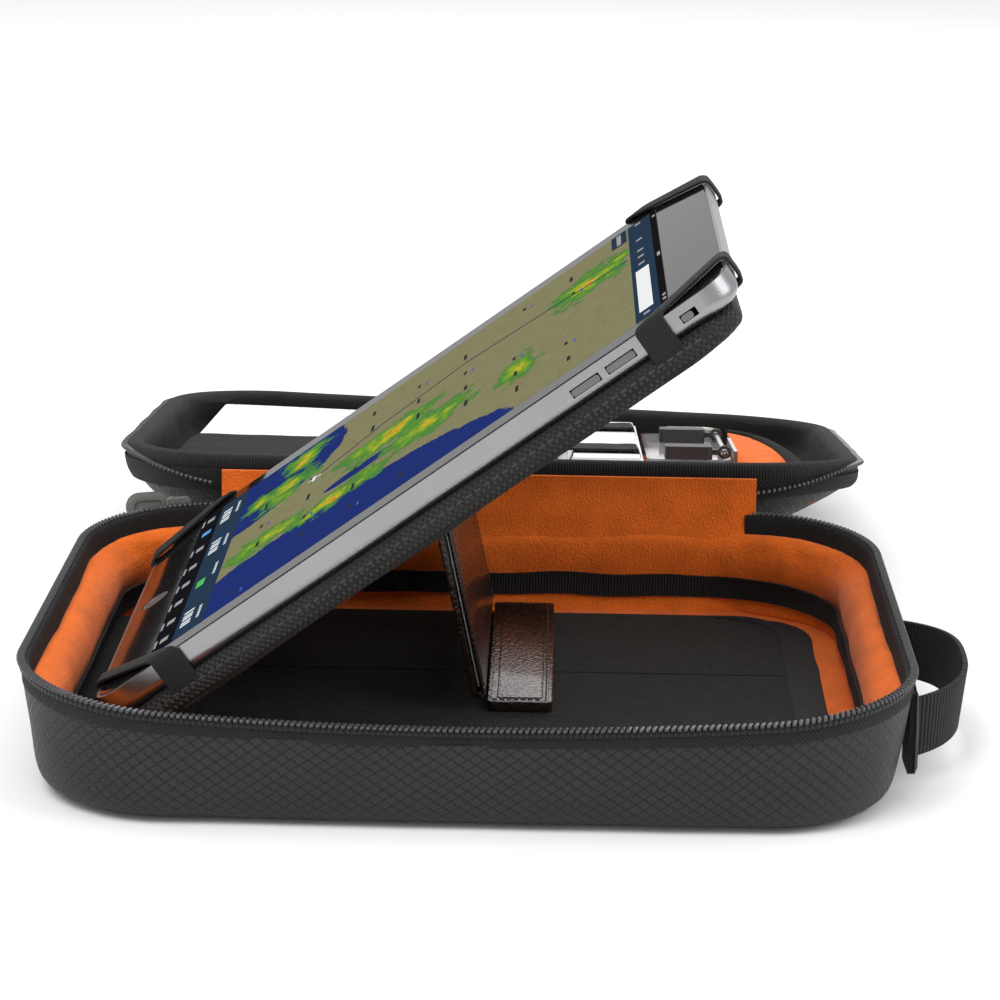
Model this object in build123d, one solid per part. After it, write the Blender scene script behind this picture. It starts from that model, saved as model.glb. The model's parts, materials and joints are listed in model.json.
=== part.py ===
from build123d import *
import os
from math import cos, radians, sin, tan

# A pilot's soft flight case, open on a table, with a moving-map tablet on a
# hinged board. Millimetres, +X along the case, +Y to the back, +Z up; the
# origin is the middle of the tray's underside, where it stands on the table.

# ---- driving dimensions -------------------------------------------------
CASE_L = 286.0            # outside length of tray and lid
CASE_W = 224.0            # outside width of tray and lid
CASE_R = 48.0             # plan radius of the corners
TRAY_H = 44.0             # table to the top of the tray's zipper
LID_D = 29.5              # rim to outside of the lid
LID_TILT = 8.7            # slope of the open lid down to the back, degrees
LID_GAP = 0.8             # between the open lid's wall and the tray's
LID_LIFT = 0.2            # open lid's back edge over the table
EDGE_R = 9.0              # rounding between wall and bottom

SHELL_T = 1.2             # outer fabric
FOAM_T = 3.0              # wall padding
LINING_T = 1.3            # fleece lining
STIFF_T = 1.6             # stiffener board
BASE_FOAM_T = 3.0         # padding over the stiffener
WALL_T = SHELL_T + FOAM_T + LINING_T
TAPE_H = 4.0              # zipper tape standing above the shell
TEETH_H = 1.6             # height of the coil of teeth
TEETH_OUT = 0.7           # how far the coil stands out of the wall
TEETH_W = 2.6             # width of the coil
HINGE_SHORT = 1.0         # the fabric hinge stops this short of the corners
GAP = 0.3                 # clearance between pieces that move

TAB_L, TAB_W, TAB_T = 241.0, 186.0, 9.5    # tablet
TAB_R = 11.0              # its corner radius
TAB_TILT = 36.0           # its slope, degrees
TAB_X, TAB_Y, TAB_Z = -116.0, 1.0, 34.0    # low end of the glass, on the middle line
GLASS_T = 1.1
HOUSING_T = 1.1
BOARD_T = 9.0             # padded board under the tablet
BOARD_OVER = 4.0          # board past the tablet's long edges
BOARD_LOW = 3.0           # board past the tablet's low end
BOARD_SHORT = 3.0         # board short of the tablet's high end
BOARD_R = 15.0
COVER_T = 1.0
CORE_T = 2.5
STRAP_T = 1.2             # elastic corner straps
STRAP_W = 9.0
STRAP_LONG, STRAP_END = 29.0, 24.0         # strap middle from the corner, each way
PIVOT_X, PIVOT_Z = -117.0, 30.0            # fabric hinge of the board

STAND_X = 6.0             # fold line of the stand
STAND_Y0, STAND_Y1 = -17.0, 98.0
STAND_CLEAR = 3.7         # top edge below the board, so that both can fold down together
STAND_LEAN = 12.0         # lean to the left, degrees
FOOT_W, FOOT_T = 22.0, 4.0
PANEL_T, POCKET_T, CARD_T = 2.4, 0.9, 0.5
CARD_GAP = 0.35

HANDLE_Y0, HANDLE_Y1 = -62.0, 32.0         # where the handle leaves the wall
HANDLE_OUT = 22.0         # bulge
WEBBING_T, WEBBING_W = 2.0, 20.0
HANDLE_Z = 22.0           # middle of the webbing
STUB = 5.0                # sewn end of the webbing, out from the wall
STUB_CLEAR = 1.1          # room for the webbing to swing past its sewn end
BAND_Z, BAND_W, BAND_T = 13.0, 7.0, 0.8    # woven band round the lining
LOOP_T = 1.4              # hook-and-loop floor panel
LOOP_IN_X, LOOP_IN_Y, LOOP_R = 15.5, 8.5, 24.0    # panel's edge from the lining
BIND_W, BIND_OVER = 11.0, 0.5

PEN_R, PEN_L = 4.2, 138.0
CUP_X0, CUP_X1 = 65.0, 99.0                # clear fuel sampler
CUP_V0, CUP_V1 = 96.0, 206.0
CUP_H, CUP_WALL = 14.0, 1.4
ROD_R = 1.1               # silver shackle that carries the keys

# ---- derived ------------------------------------------------------------
HALF_L, HALF_W = CASE_L / 2, CASE_W / 2
FLOOR_Z = SHELL_T + STIFF_T + BASE_FOAM_T
FLOOR_TOP = FLOOR_Z + LINING_T
PANEL_TOP = FLOOR_TOP + LOOP_T
HINGE_HALF = HALF_L - CASE_R - HINGE_SHORT
LOOP_X, LOOP_Y = HALF_L - WALL_T - LOOP_IN_X, HALF_W - WALL_T - LOOP_IN_Y
LID_SIN, LID_COS = sin(radians(LID_TILT)), cos(radians(LID_TILT))
LID_Y = HALF_W + LID_GAP + (LID_D - EDGE_R) * LID_SIN + EDGE_R * (1 - LID_COS)   # lid's rim, hinge side
LID_FRONT_Z = (CASE_W - EDGE_R) * LID_SIN + (LID_D - EDGE_R) * LID_COS + EDGE_R + LID_LIFT
LID_FLOOR = -LID_D + SHELL_T + STIFF_T + BASE_FOAM_T
LID_IN = LID_FLOOR + LINING_T              # inside face of the lid's floor
LID_BACK = CASE_W - WALL_T                 # inside face of the lid's far wall
FOLD_Z = PANEL_TOP + FOOT_T + GAP + 0.1    # fold line of the stand
HAIR = 0.15               # gap between stacked pieces

os.makedirs("parts", exist_ok=True)


def plan(offset, radius_min=1.0):
    """The rounded-rectangle outline, moved in by offset."""
    r = max(CASE_R - offset, radius_min)
    return RectangleRounded(CASE_L - 2 * offset, CASE_W - 2 * offset, r)


def prism(offset, z0, z1):
    """The case's plan, moved in by offset, from z0 up to z1."""
    return Pos(0, 0, z0) * extrude(plan(offset), z1 - z0)


def bowl(offset, z0, z1):
    """A prism with its bottom edge rounded to nest inside the shell."""
    body = prism(offset, z0, z1)
    radius = max(EDGE_R - offset, 0.8)
    return fillet(body.edges().group_by(Axis.Z)[0], radius)


def block(x0, x1, y0, y1, z0, z1):
    """A box from its lowest and highest corners."""
    middle = Pos((x0 + x1) / 2, (y0 + y1) / 2, (z0 + z1) / 2)
    return middle * Box(x1 - x0, y1 - y0, z1 - z0)


def sheet(x0, x1, y0, y1, z0, z1, radius):
    """A flat plate with rounded plan corners."""
    middle = Pos((x0 + x1) / 2, (y0 + y1) / 2, z0)
    return middle * extrude(RectangleRounded(x1 - x0, y1 - y0, radius), z1 - z0)


def profile_along_x(points, x0, x1):
    """A closed outline in the Y-Z plane, run from x0 to x1."""
    face = Plane.YZ.offset(x0) * make_face(Polyline(*points, close=True))
    return extrude(face, x1 - x0, dir=(1, 0, 0))


def profile_along_y(points, y0, y1):
    """A closed outline in the X-Z plane, run from y0 to y1."""
    face = make_face(Polyline(*[(x, y0, z) for x, z in points], close=True))
    return extrude(face, y1 - y0, dir=(0, 1, 0))


nodes = {}


def keep(name, shape, where=None):
    """Store one node, moved from its own frame into the object's."""
    nodes[name] = where * shape if where is not None else shape


# ---- tray ---------------------------------------------------------------
def away_from_hinge(shape, back_y, z0, z1):
    """Cut the fabric hinge's stretch out of a rim piece."""
    return shape - block(-HINGE_HALF - 1, HINGE_HALF + 1, back_y - 12, back_y + 3, z0 - 1, z1 + 1)


def tray():
    cavity = bowl(SHELL_T, SHELL_T, TRAY_H)
    shell_top = TRAY_H - TAPE_H
    keep("tray_shell", bowl(0, 0, shell_top) - cavity)
    stiff_top = SHELL_T + STIFF_T
    keep("tray_base_board", cavity & prism(0, SHELL_T, stiff_top))
    foam = prism(0, stiff_top, shell_top) - prism(SHELL_T + FOAM_T, FLOOR_Z, shell_top)
    keep("tray_foam", cavity & foam)
    lining = prism(SHELL_T + FOAM_T, FLOOR_Z, shell_top) - prism(WALL_T, FLOOR_Z, shell_top)
    cap = prism(SHELL_T + GAP, shell_top, shell_top + LINING_T)
    cap -= prism(WALL_T, shell_top, shell_top + LINING_T)
    keep("tray_wall_lining", lining + cap)
    keep("tray_floor_lining", prism(WALL_T, FLOOR_Z, FLOOR_TOP))
    band = prism(WALL_T, BAND_Z, BAND_Z + BAND_W) - prism(WALL_T + BAND_T, BAND_Z, BAND_Z + BAND_W)
    keep("tray_wall_band", band)

    tape_top = TRAY_H - TEETH_H
    tape = prism(0, shell_top, tape_top) - prism(SHELL_T, shell_top, tape_top)
    keep("tray_zip_tape", away_from_hinge(tape, HALF_W, shell_top, tape_top))
    teeth = prism(-TEETH_OUT, tape_top, TRAY_H) - prism(TEETH_W - TEETH_OUT, tape_top, TRAY_H)
    keep("tray_zip_teeth", away_from_hinge(teeth, HALF_W, tape_top, TRAY_H))


def floor_panel():
    outer = sheet(-LOOP_X, LOOP_X, -LOOP_Y, LOOP_Y, FLOOR_TOP, PANEL_TOP, LOOP_R)
    seam_y, seam_w, seam_d = 27.0, 0.8, 0.7
    seam = block(-LOOP_X, LOOP_X, seam_y, seam_y + seam_w, PANEL_TOP - seam_d, PANEL_TOP)
    edge = outer & block(LOOP_X - BIND_W, LOOP_X, -LOOP_Y, LOOP_Y, FLOOR_TOP, PANEL_TOP)
    top = sheet(-LOOP_X, LOOP_X, -LOOP_Y, LOOP_Y, PANEL_TOP, PANEL_TOP + BIND_OVER, LOOP_R)
    top &= block(LOOP_X - BIND_W, LOOP_X, -LOOP_Y, LOOP_Y, PANEL_TOP, PANEL_TOP + BIND_OVER)
    keep("floor_loop_panel", outer - seam - edge)
    keep("floor_panel_binding", edge + top)


# ---- handle, on the right wall ------------------------------------------
def handle():
    half = (HANDLE_Y1 - HANDLE_Y0) / 2
    middle = (HANDLE_Y1 + HANDLE_Y0) / 2
    wall_x = HALF_L
    root_x = wall_x + STUB
    out = HANDLE_OUT - STUB
    outer_r = (half * half + out * out) / (2 * out)
    centre_x = root_x + out - outer_r
    z0, z1 = HANDLE_Z - WEBBING_W / 2, HANDLE_Z + WEBBING_W / 2
    ring = Cylinder(outer_r, WEBBING_W) - Cylinder(outer_r - WEBBING_T, WEBBING_W)
    ring = Pos(centre_x, middle, HANDLE_Z) * ring
    neck, taper = WEBBING_W * 0.2, WEBBING_W * 0.3
    far = root_x + out + 1
    side = [(root_x, HANDLE_Z - neck), (root_x + taper, z0), (far, z0),
            (far, z1), (root_x + taper, z1), (root_x, HANDLE_Z + neck)]
    keep("handle_webbing", ring & profile_along_y(side, HANDLE_Y0 - 5, HANDLE_Y1 + 5))
    tab_w, tab_h, tab_t, stub_w, tongue = 16.0, 27.0, 1.3, 3.0, 1.5
    for name, y, inward in (("handle_tab_front", HANDLE_Y0, 1), ("handle_tab_back", HANDLE_Y1, -1)):
        plate = block(wall_x, wall_x + tab_t, y - tab_w / 2, y + tab_w / 2,
                      HANDLE_Z - tab_h / 2, HANDLE_Z + tab_h / 2)
        y_mid = y + inward * stub_w / 2
        stub = block(wall_x + tab_t, root_x - STUB_CLEAR, y_mid - stub_w / 2, y_mid + stub_w / 2,
                     HANDLE_Z - tongue, HANDLE_Z + tongue)
        keep(name, plate + stub)


# ---- zipper slider, parked round the back left corner ---------------------
PARK = 110.0              # its bearing from the corner's centre, degrees
SLIDER_L, SLIDER_T, SLIDER_H = 9.0, 2.6, 7.0
PULL_L, PULL_T, PULL_H = 13.0, 1.6, 6.0


def zipper_slider():
    corner = Pos(-HALF_L + CASE_R, HALF_W - CASE_R, 0) * Rot(0, 0, PARK)
    r0 = CASE_R + TEETH_OUT + GAP
    z_mid = TRAY_H - 1.0
    body = block(r0, r0 + SLIDER_T, -SLIDER_L / 2, SLIDER_L / 2, z_mid - SLIDER_H / 2, z_mid + SLIDER_H / 2)
    body = fillet(body.edges().filter_by(Axis.X), 1.2)
    pin_r, pin_x, pin_y = 0.8, r0 + SLIDER_T + 2.2, 2.0
    lug = block(r0 + SLIDER_T, pin_x + 0.4, pin_y - 1.0, pin_y + 1.0, z_mid - 1.0, z_mid + 1.0)
    pin = Pos(pin_x, pin_y, z_mid) * Cylinder(pin_r, SLIDER_H - 1.0)
    keep("zip_slider", body + lug + pin, corner)
    eye = Pos(pin_x, pin_y, z_mid) * Cylinder(pin_r + 1.0, PULL_H)
    tab = block(pin_x - PULL_T / 2, pin_x + PULL_T / 2, pin_y, pin_y + PULL_L,
                z_mid - PULL_H / 2, z_mid + PULL_H / 2)
    pull = eye + tab - Pos(pin_x, pin_y, z_mid) * Cylinder(pin_r + 0.15, PULL_H + 2)
    pull -= block(pin_x - 3, pin_x + 3, pin_y - 3, pin_y + 2.2, z_mid - 1.25, z_mid + 1.25)
    keep("zip_pull", pull, corner)


# ---- lid, in its own frame: rim plane at 0, hinge side at y = 0 -------------
LID = Pos(0, LID_Y, LID_FRONT_Z) * Rot(-LID_TILT, 0, 0) * Pos(0, HALF_W, 0)


def lid():
    cavity = bowl(SHELL_T, SHELL_T, LID_D)
    shell_top = LID_D - TAPE_H
    down = Pos(0, 0, -LID_D)
    wall_in = prism(WALL_T, FLOOR_Z, shell_top)
    keep("lid_shell", bowl(0, 0, shell_top) - cavity, LID * down)
    stiff_top = SHELL_T + STIFF_T
    keep("lid_stiffener", cavity & prism(0, SHELL_T, stiff_top), LID * down)
    foam = prism(0, stiff_top, shell_top) - prism(SHELL_T + FOAM_T, FLOOR_Z, shell_top)
    keep("lid_foam", cavity & foam, LID * down)
    wall = prism(SHELL_T + FOAM_T, FLOOR_Z, shell_top) - wall_in
    cap = prism(SHELL_T + GAP, shell_top, shell_top + LINING_T)
    cap -= prism(WALL_T, shell_top, shell_top + LINING_T)
    keep("lid_wall_lining", wall + cap, LID * down)
    keep("lid_floor_lining", prism(WALL_T, FLOOR_Z, FLOOR_TOP), LID * down)
    tape_top = LID_D - TEETH_H
    tape = prism(0, shell_top, tape_top) - prism(SHELL_T, shell_top, tape_top)
    keep("lid_zip_tape", away_from_hinge(tape, -HALF_W + 9, shell_top, tape_top), LID * down)
    teeth = prism(-TEETH_OUT, tape_top, LID_D) - prism(TEETH_W - TEETH_OUT, tape_top, LID_D)
    keep("lid_zip_teeth", away_from_hinge(teeth, -HALF_W + 9, tape_top, LID_D), LID * down)
    roll_w, roll_h = 5.0, 2.6
    z0 = shell_top + LINING_T
    roll = block(-HINGE_HALF, HINGE_HALF, -HALF_W + GAP, -HALF_W + GAP + roll_w, z0, z0 + roll_h)
    keep("lid_front_roll", fillet(roll.edges().filter_by(Axis.X), 1.2), LID * down)


def hinge_gusset():
    """Fleece panel that joins the tray's back rim to the lid's front."""
    low_z = TRAY_H - TAPE_H + LINING_T + 0.2
    high_z = LID_FRONT_Z - 0.5
    y0, thick = HALF_W - 3.4, 2.4
    lean = LID_Y - HALF_W - 0.8
    points = [(y0, low_z), (y0 + thick, low_z), (y0 + thick + lean, high_z), (y0 + lean, high_z)]
    keep("hinge_gusset", profile_along_x(points, -HINGE_HALF, HINGE_HALF))


# ---- what the lid carries, in the lid's frame, v measured from the hinge ----
CONTENTS = Pos(0, LID_Y, LID_FRONT_Z) * Rot(-LID_TILT, 0, 0)


def left_pocket():
    note_t, note_x0, note_x1 = 6.0, -HALF_L + WALL_T + 21.5, -14.0
    note_n = -4.0 - note_t
    pages = block(note_x0, note_x1, 24, LID_BACK - 11.5, note_n, note_n + note_t)
    keep("notepad_pages", fillet(pages.edges().filter_by(Axis.Z), 2.0), CONTENTS)
    leaf_t, x0, x1, v0, v1 = 1.2, note_x0 - 6.0, note_x1 + 6.0, 22.0, 92.0
    top = note_n + note_t + GAP
    front = block(x0, x1, v0, v1, top, top + leaf_t)
    sides = block(x0, x0 + 2, v0, v1, LID_IN, top) + block(x1 - 2, x1, v0, v1, LID_IN, top)
    keep("lid_pocket_left", front + sides, CONTENTS)
    pad = sheet(note_x0, note_x1, 24, LID_BACK - 17.0, LID_IN, note_n - GAP, 6.0)
    keep("pocket_left_pad", pad, CONTENTS)


def elastic_loops():
    x0, x1 = 1.0, 63.0
    top = -1.6
    for name, v0, v1 in (("elastic_loop_front", 66.0, 88.0), ("elastic_loop_back", 158.0, 180.0)):
        arch = block(x0, x1, v0, v1, LID_IN, top)
        tunnel = block(x0 + 1.1, x1 - 1.1, v0 - 1, v1 + 1, LID_IN, top - 1.0)
        keep(name, arch - tunnel, CONTENTS)
    deck_top = top - 1.0 - 2 * PEN_R - 3 * HAIR
    deck = sheet(x0 + 2, x1 - 2, 40, 208, LID_IN, deck_top, 3.0)
    deck += block(x0 + 34, x1 - 4, 46, 204, deck_top, deck_top + 2 * PEN_R - 1.0)
    keep("checklist_deck", deck, CONTENTS)
    for name, x in (("pen_a", x0 + 12.0), ("pen_b", x0 + 24.0)):
        centre = deck_top + HAIR + PEN_R
        barrel = Pos(x, 58 + PEN_L / 2, centre) * Rot(90, 0, 0) * Cylinder(PEN_R, PEN_L)
        tip = Pos(x, 58 - 5, centre) * Rot(90, 0, 0) * Cone(PEN_R, 1.2, 10)
        keep(name, barrel + tip, CONTENTS)


def sampler_and_keys():
    top = LID_IN + CUP_H
    outer = sheet(CUP_X0, CUP_X1, CUP_V0, CUP_V1, LID_IN, top, 5.0)
    inner = sheet(CUP_X0 + CUP_WALL, CUP_X1 - CUP_WALL, CUP_V0 - 1, CUP_V1 - CUP_WALL,
                  LID_IN + CUP_WALL, top - CUP_WALL, 3.6)
    keep("sampler_cup", outer - inner, CONTENTS)
    x_mid, n_mid = (CUP_X0 + CUP_X1) / 2, LID_IN + CUP_H / 2
    cap_l = 9.0
    plug = sheet(CUP_X0 + CUP_WALL + GAP, CUP_X1 - CUP_WALL - GAP, CUP_V0 - cap_l, CUP_V0 + 6,
                 LID_IN + CUP_WALL + GAP, top - CUP_WALL - GAP, 3.0)
    pin = Pos(x_mid, CUP_V0 - cap_l - 5, n_mid) * Rot(90, 0, 0) * Cylinder(2.0, 10)
    keep("sampler_valve", plug + pin, CONTENTS)

    rod_x, rod_n = CUP_X1 - 3.0, top + ROD_R + 1.9
    v0, v1, turn = 84.0, 196.0, 6.0
    back_x = rod_x - 20.0
    path = FilletPolyline((rod_x, v0, rod_n), (rod_x, v1, rod_n), (back_x, v1, rod_n), radius=turn)
    section = Plane((rod_x, v0, rod_n), z_dir=(0, 1, 0)) * Circle(ROD_R)
    rod = sweep(section, path=path)
    keep("key_shackle", rod, CONTENTS)
    eye_out, eye_in = ROD_R + 1.6, ROD_R + 0.3
    for name, v in (("key_a", 98.0), ("key_b", 172.0)):
        head = block(rod_x - 24, rod_x - 5, v - 6.5, v + 6.5, rod_n - 2.6, rod_n + 2.6)
        head = fillet(head.edges().filter_by(Axis.Z), 2.0)
        shank = block(rod_x - 5.2, rod_x - 1.6, v - 1.5, v + 1.5, rod_n - 1.0, rod_n + 1.0)
        eye = Pos(rod_x, v, rod_n) * Rot(90, 0, 0) * Cylinder(eye_out, 3.0)
        bore = Pos(rod_x, v, rod_n) * Rot(90, 0, 0) * Cylinder(eye_in, 30.0)
        keep(name, head + shank + eye - bore, CONTENTS)
    clip = block(CUP_X1 + 0.6, CUP_X1 + 2.0, 92, 150, top - 6.0, top + 4.0)
    keep("spring_clip", clip, CONTENTS)


def right_pocket():
    x0, x1 = CUP_X1 + 3.0, HALF_L - WALL_T - 3.5
    t = 1.2
    low, knee, high = (26.0, -18.6), (60.0, -16.6), (140.0, -7.0)
    line = [low, knee, high]
    upper = [(v, n + t) for v, n in reversed(line)]
    leaf = profile_along_x(line + upper, x0, x1)
    inside = Pos(0, HALF_W, -LID_D) * prism(WALL_T + GAP, 0, LID_D)
    keep("lid_pocket_right", leaf & inside, CONTENTS)
    v, n = high
    edge = block(x0, x1, v + 0.1, v + 5.0, n - 1.0, n + 2.2)
    keep("pocket_right_binding", fillet(edge.edges().filter_by(Axis.X), 1.4) & inside, CONTENTS)


# ---- tablet and its board, in the tablet's frame ----------------------------
# X up the slope from the low end, Y across from the middle, Z out of the glass.
SLOPE = Pos(TAB_X, TAB_Y, TAB_Z) * Rot(0, -TAB_TILT, 0)
HALF_TAB = TAB_W / 2
KEY_N = -TAB_T / 2 + 0.4  # height of the side keys' middle


def slab(x0, x1, half, z0, z1, radius):
    return sheet(x0, x1, -half, half, z0, z1, radius)


HOME_X, HOME_R, HOME_T = 10.5, 5.4, 0.9
SIDE_KEYS = (("volume_down", 186.0, 10.0), ("volume_up", 199.0, 10.0), ("mute_switch", 223.5, 4.0))
KEY_H, KEY_OUT, KEY_IN = 2.2, 0.5, 2.2
MUTE_TRAVEL = 1.2
SLEEP_Y, SLEEP_W = -54.0, 9.0


def tablet():
    body = slab(0, TAB_L, HALF_TAB, -TAB_T, -0.25, TAB_R)
    body = fillet(body.edges().group_by(Axis.Z)[0], 4.2)
    room = slab(HOUSING_T, TAB_L - HOUSING_T, HALF_TAB - HOUSING_T, -TAB_T + 1.3, 0, TAB_R - HOUSING_T)
    room = fillet(room.edges().group_by(Axis.Z)[0], 3.1)
    housing = body - room
    for name, x, length in SIDE_KEYS:
        slack = MUTE_TRAVEL if name == "mute_switch" else 0.0
        housing -= block(x - length / 2 - GAP, x + length / 2 + GAP + slack, -HALF_TAB - 1,
                         -HALF_TAB + 5, KEY_N - KEY_H / 2 - GAP, KEY_N + KEY_H / 2 + GAP)
    housing -= block(TAB_L - 5, TAB_L + 1, SLEEP_Y - SLEEP_W / 2 - GAP, SLEEP_Y + SLEEP_W / 2 + GAP,
                     KEY_N - KEY_H / 2 - GAP, KEY_N + KEY_H / 2 + GAP)
    keep("tablet_housing", housing, SLOPE)
    glass = slab(HOUSING_T + 0.1, TAB_L - HOUSING_T - 0.1, HALF_TAB - HOUSING_T - 0.1,
                 -GLASS_T, 0, TAB_R - HOUSING_T - 0.1)
    glass = chamfer(glass.edges().group_by(Axis.Z)[-1], 0.25)
    glass -= Pos(HOME_X, 0, 0) * Cylinder(HOME_R + 0.2, 4)
    keep("tablet_glass", glass, SLOPE)
    display_x0, display_l, display_w = 20.0, 199.0, 150.0
    panel = block(display_x0, display_x0 + display_l, -display_w / 2, display_w / 2,
                  -GLASS_T - 2.0, -GLASS_T - HAIR)
    keep("display_panel", panel, SLOPE)
    cell_top = -GLASS_T - 2.0 - HAIR
    keep("battery", sheet(24, 176, -58, 58, -TAB_T + 1.3 + HAIR, cell_top, 3.0), SLOPE)
    keep("home_button", Pos(HOME_X, 0, -HOME_T / 2 - 0.25) * Cylinder(HOME_R, HOME_T), SLOPE)
    for name, x, length in SIDE_KEYS:
        key = block(x - length / 2, x + length / 2, -HALF_TAB - KEY_OUT, -HALF_TAB + KEY_IN,
                    KEY_N - KEY_H / 2, KEY_N + KEY_H / 2)
        keep(name, fillet(key.edges().filter_by(Axis.Y), 0.8), SLOPE)
    key = block(TAB_L - KEY_IN, TAB_L + KEY_OUT, SLEEP_Y - SLEEP_W / 2, SLEEP_Y + SLEEP_W / 2,
                KEY_N - KEY_H / 2, KEY_N + KEY_H / 2)
    keep("sleep_button", fillet(key.edges().filter_by(Axis.X), 0.8), SLOPE)


def board():
    x0, x1 = -BOARD_LOW, TAB_L - BOARD_SHORT
    half = HALF_TAB + BOARD_OVER
    z0, z1 = -TAB_T - BOARD_T, -TAB_T
    cover = slab(x0, x1, half, z0, z1, BOARD_R)
    cover = fillet(cover.edges().group_by(Axis.Z)[0], 3.0)
    core_top, inset = z1 - COVER_T, 3.0
    room = slab(x0 + inset, x1 - inset, half - inset, core_top - CORE_T, core_top, BOARD_R - inset)
    keep("board_cover", cover - room, SLOPE)
    keep("board_core", room, SLOPE)
    for end, x_edge, sx in (("low", 0.0, 1), ("high", TAB_L, -1)):
        for side, sy in (("near", -1), ("far", 1)):
            keep("strap_" + end + "_" + side, strap(x_edge, sx, sy), SLOPE)


def strap(x_edge, sx, sy):
    """Elastic across one corner of the tablet, down both edges to the board."""
    a0, a1 = STRAP_LONG - STRAP_W / 2, STRAP_LONG + STRAP_W / 2
    b0, b1 = STRAP_END - STRAP_W / 2, STRAP_END + STRAP_W / 2
    out, gap = GAP + STRAP_T, 0.2

    def at(dx, dy):
        return (x_edge + sx * dx, sy * (HALF_TAB - dy))

    outline = [at(a0, -out), at(a1, -out), at(a1, 0), at(0, b1),
               at(-out, b1), at(-out, b0), at(0, b0), at(a0, 0)]
    face = make_face(Polyline(*outline, close=True))
    band = Pos(0, 0, gap) * extrude(face, STRAP_T)
    long_y = sorted((sy * (HALF_TAB + GAP), sy * (HALF_TAB + out)))
    long_x = sorted((x_edge + sx * a0, x_edge + sx * a1))
    band += block(long_x[0], long_x[1], long_y[0], long_y[1], -TAB_T + 0.03, gap + 0.5)
    end_x = sorted((x_edge - sx * GAP, x_edge - sx * out))
    end_y = sorted((sy * (HALF_TAB - b0), sy * (HALF_TAB - b1)))
    if sx > 0:
        return band + block(end_x[0], end_x[1], end_y[0], end_y[1], -TAB_T + 0.03, gap + 0.5)
    low = -TAB_T - 6.0
    band += block(end_x[0], end_x[1], end_y[0], end_y[1], low, gap + 0.5)
    board_end = TAB_L - BOARD_SHORT
    return band + block(board_end + 0.05, end_x[1], end_y[0], end_y[1], low, low + STRAP_T)


def board_hinge():
    """Fabric flap that hangs the board's low end on the left wall."""
    wall = -HALF_L + WALL_T
    reach = HALF_W - CASE_R - 3.0
    keep("board_hinge_flap", block(wall, PIVOT_X - 2.4, -reach, reach, PIVOT_Z - 0.9, PIVOT_Z + 0.9))


# ---- stand, leaning left under the board -----------------------------------
STAND = Pos(STAND_X, 0, FOLD_Z) * Rot(0, -STAND_LEAN, 0)
LEAF_BACK = POCKET_T + 2 * CARD_GAP + CARD_T


def stand_height():
    """Fold line to the top edge, so that its left corner just clears the board."""
    slope, lean = radians(TAB_TILT), radians(STAND_LEAN)
    under = TAB_T + BOARD_T
    line_x, line_z = TAB_X + under * sin(slope), TAB_Z - under * cos(slope)
    back = LEAF_BACK + PANEL_T
    rise = line_z + tan(slope) * (STAND_X - back * cos(lean) - line_x) - FOLD_Z + back * sin(lean)
    return rise / (cos(lean) + tan(slope) * sin(lean)) - STAND_CLEAR


def stand():
    height = stand_height()
    foot = block(STAND_X + 0.6, STAND_X + 0.6 + FOOT_W, STAND_Y0, STAND_Y1, PANEL_TOP, PANEL_TOP + FOOT_T)
    keep("stand_foot", fillet(foot.edges().filter_by(Axis.Z), 1.6))
    low = 0.6
    panel = block(-LEAF_BACK - PANEL_T, -LEAF_BACK, STAND_Y0, STAND_Y1, low, height)
    panel = fillet(panel.edges().filter_by(Axis.X), 1.6)
    keep("stand_panel", fillet(panel.edges().filter_by(Axis.Y).group_by(Axis.Z)[-1], 1.1), STAND)
    pocket = block(-POCKET_T, 0, STAND_Y0, STAND_Y1, low, height - 2.4)
    hem = block(-LEAF_BACK, -POCKET_T, STAND_Y0, STAND_Y1, low, low + 2.4)
    keep("stand_pocket", pocket + hem, STAND)
    x0 = -POCKET_T - CARD_GAP - CARD_T
    keep("stand_card", block(x0, x0 + CARD_T, STAND_Y0 + 3, STAND_Y1 - 4, low + 3.4, height - 4), STAND)


for build in (tray, floor_panel, handle, zipper_slider, lid, hinge_gusset, left_pocket, elastic_loops,
              sampler_and_keys, right_pocket, tablet, board, board_hinge, stand):
    build()

for name, shape in nodes.items():
    export_step(shape, "parts/" + name + ".step")

box = Compound(children=[s for s in nodes.values()]).bounding_box()
print(len(nodes), "nodes; size", [round(v, 1) for v in (box.size.X, box.size.Y, box.size.Z)],
      "low", [round(v, 2) for v in (box.min.X, box.min.Y, box.min.Z)])
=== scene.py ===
# %% [markdown]
# # An open flight case with a moving-map tablet
# A pilot's soft case lies open on a table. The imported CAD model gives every
# piece its place, so this script starts by loading it and then dresses it:
# hard pieces keep their CAD shape, and soft ones are modelled again here.

# %% Load the frame
import json
import math

import bpy
import bmesh
from mathutils import Matrix, Vector, noise


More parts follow.
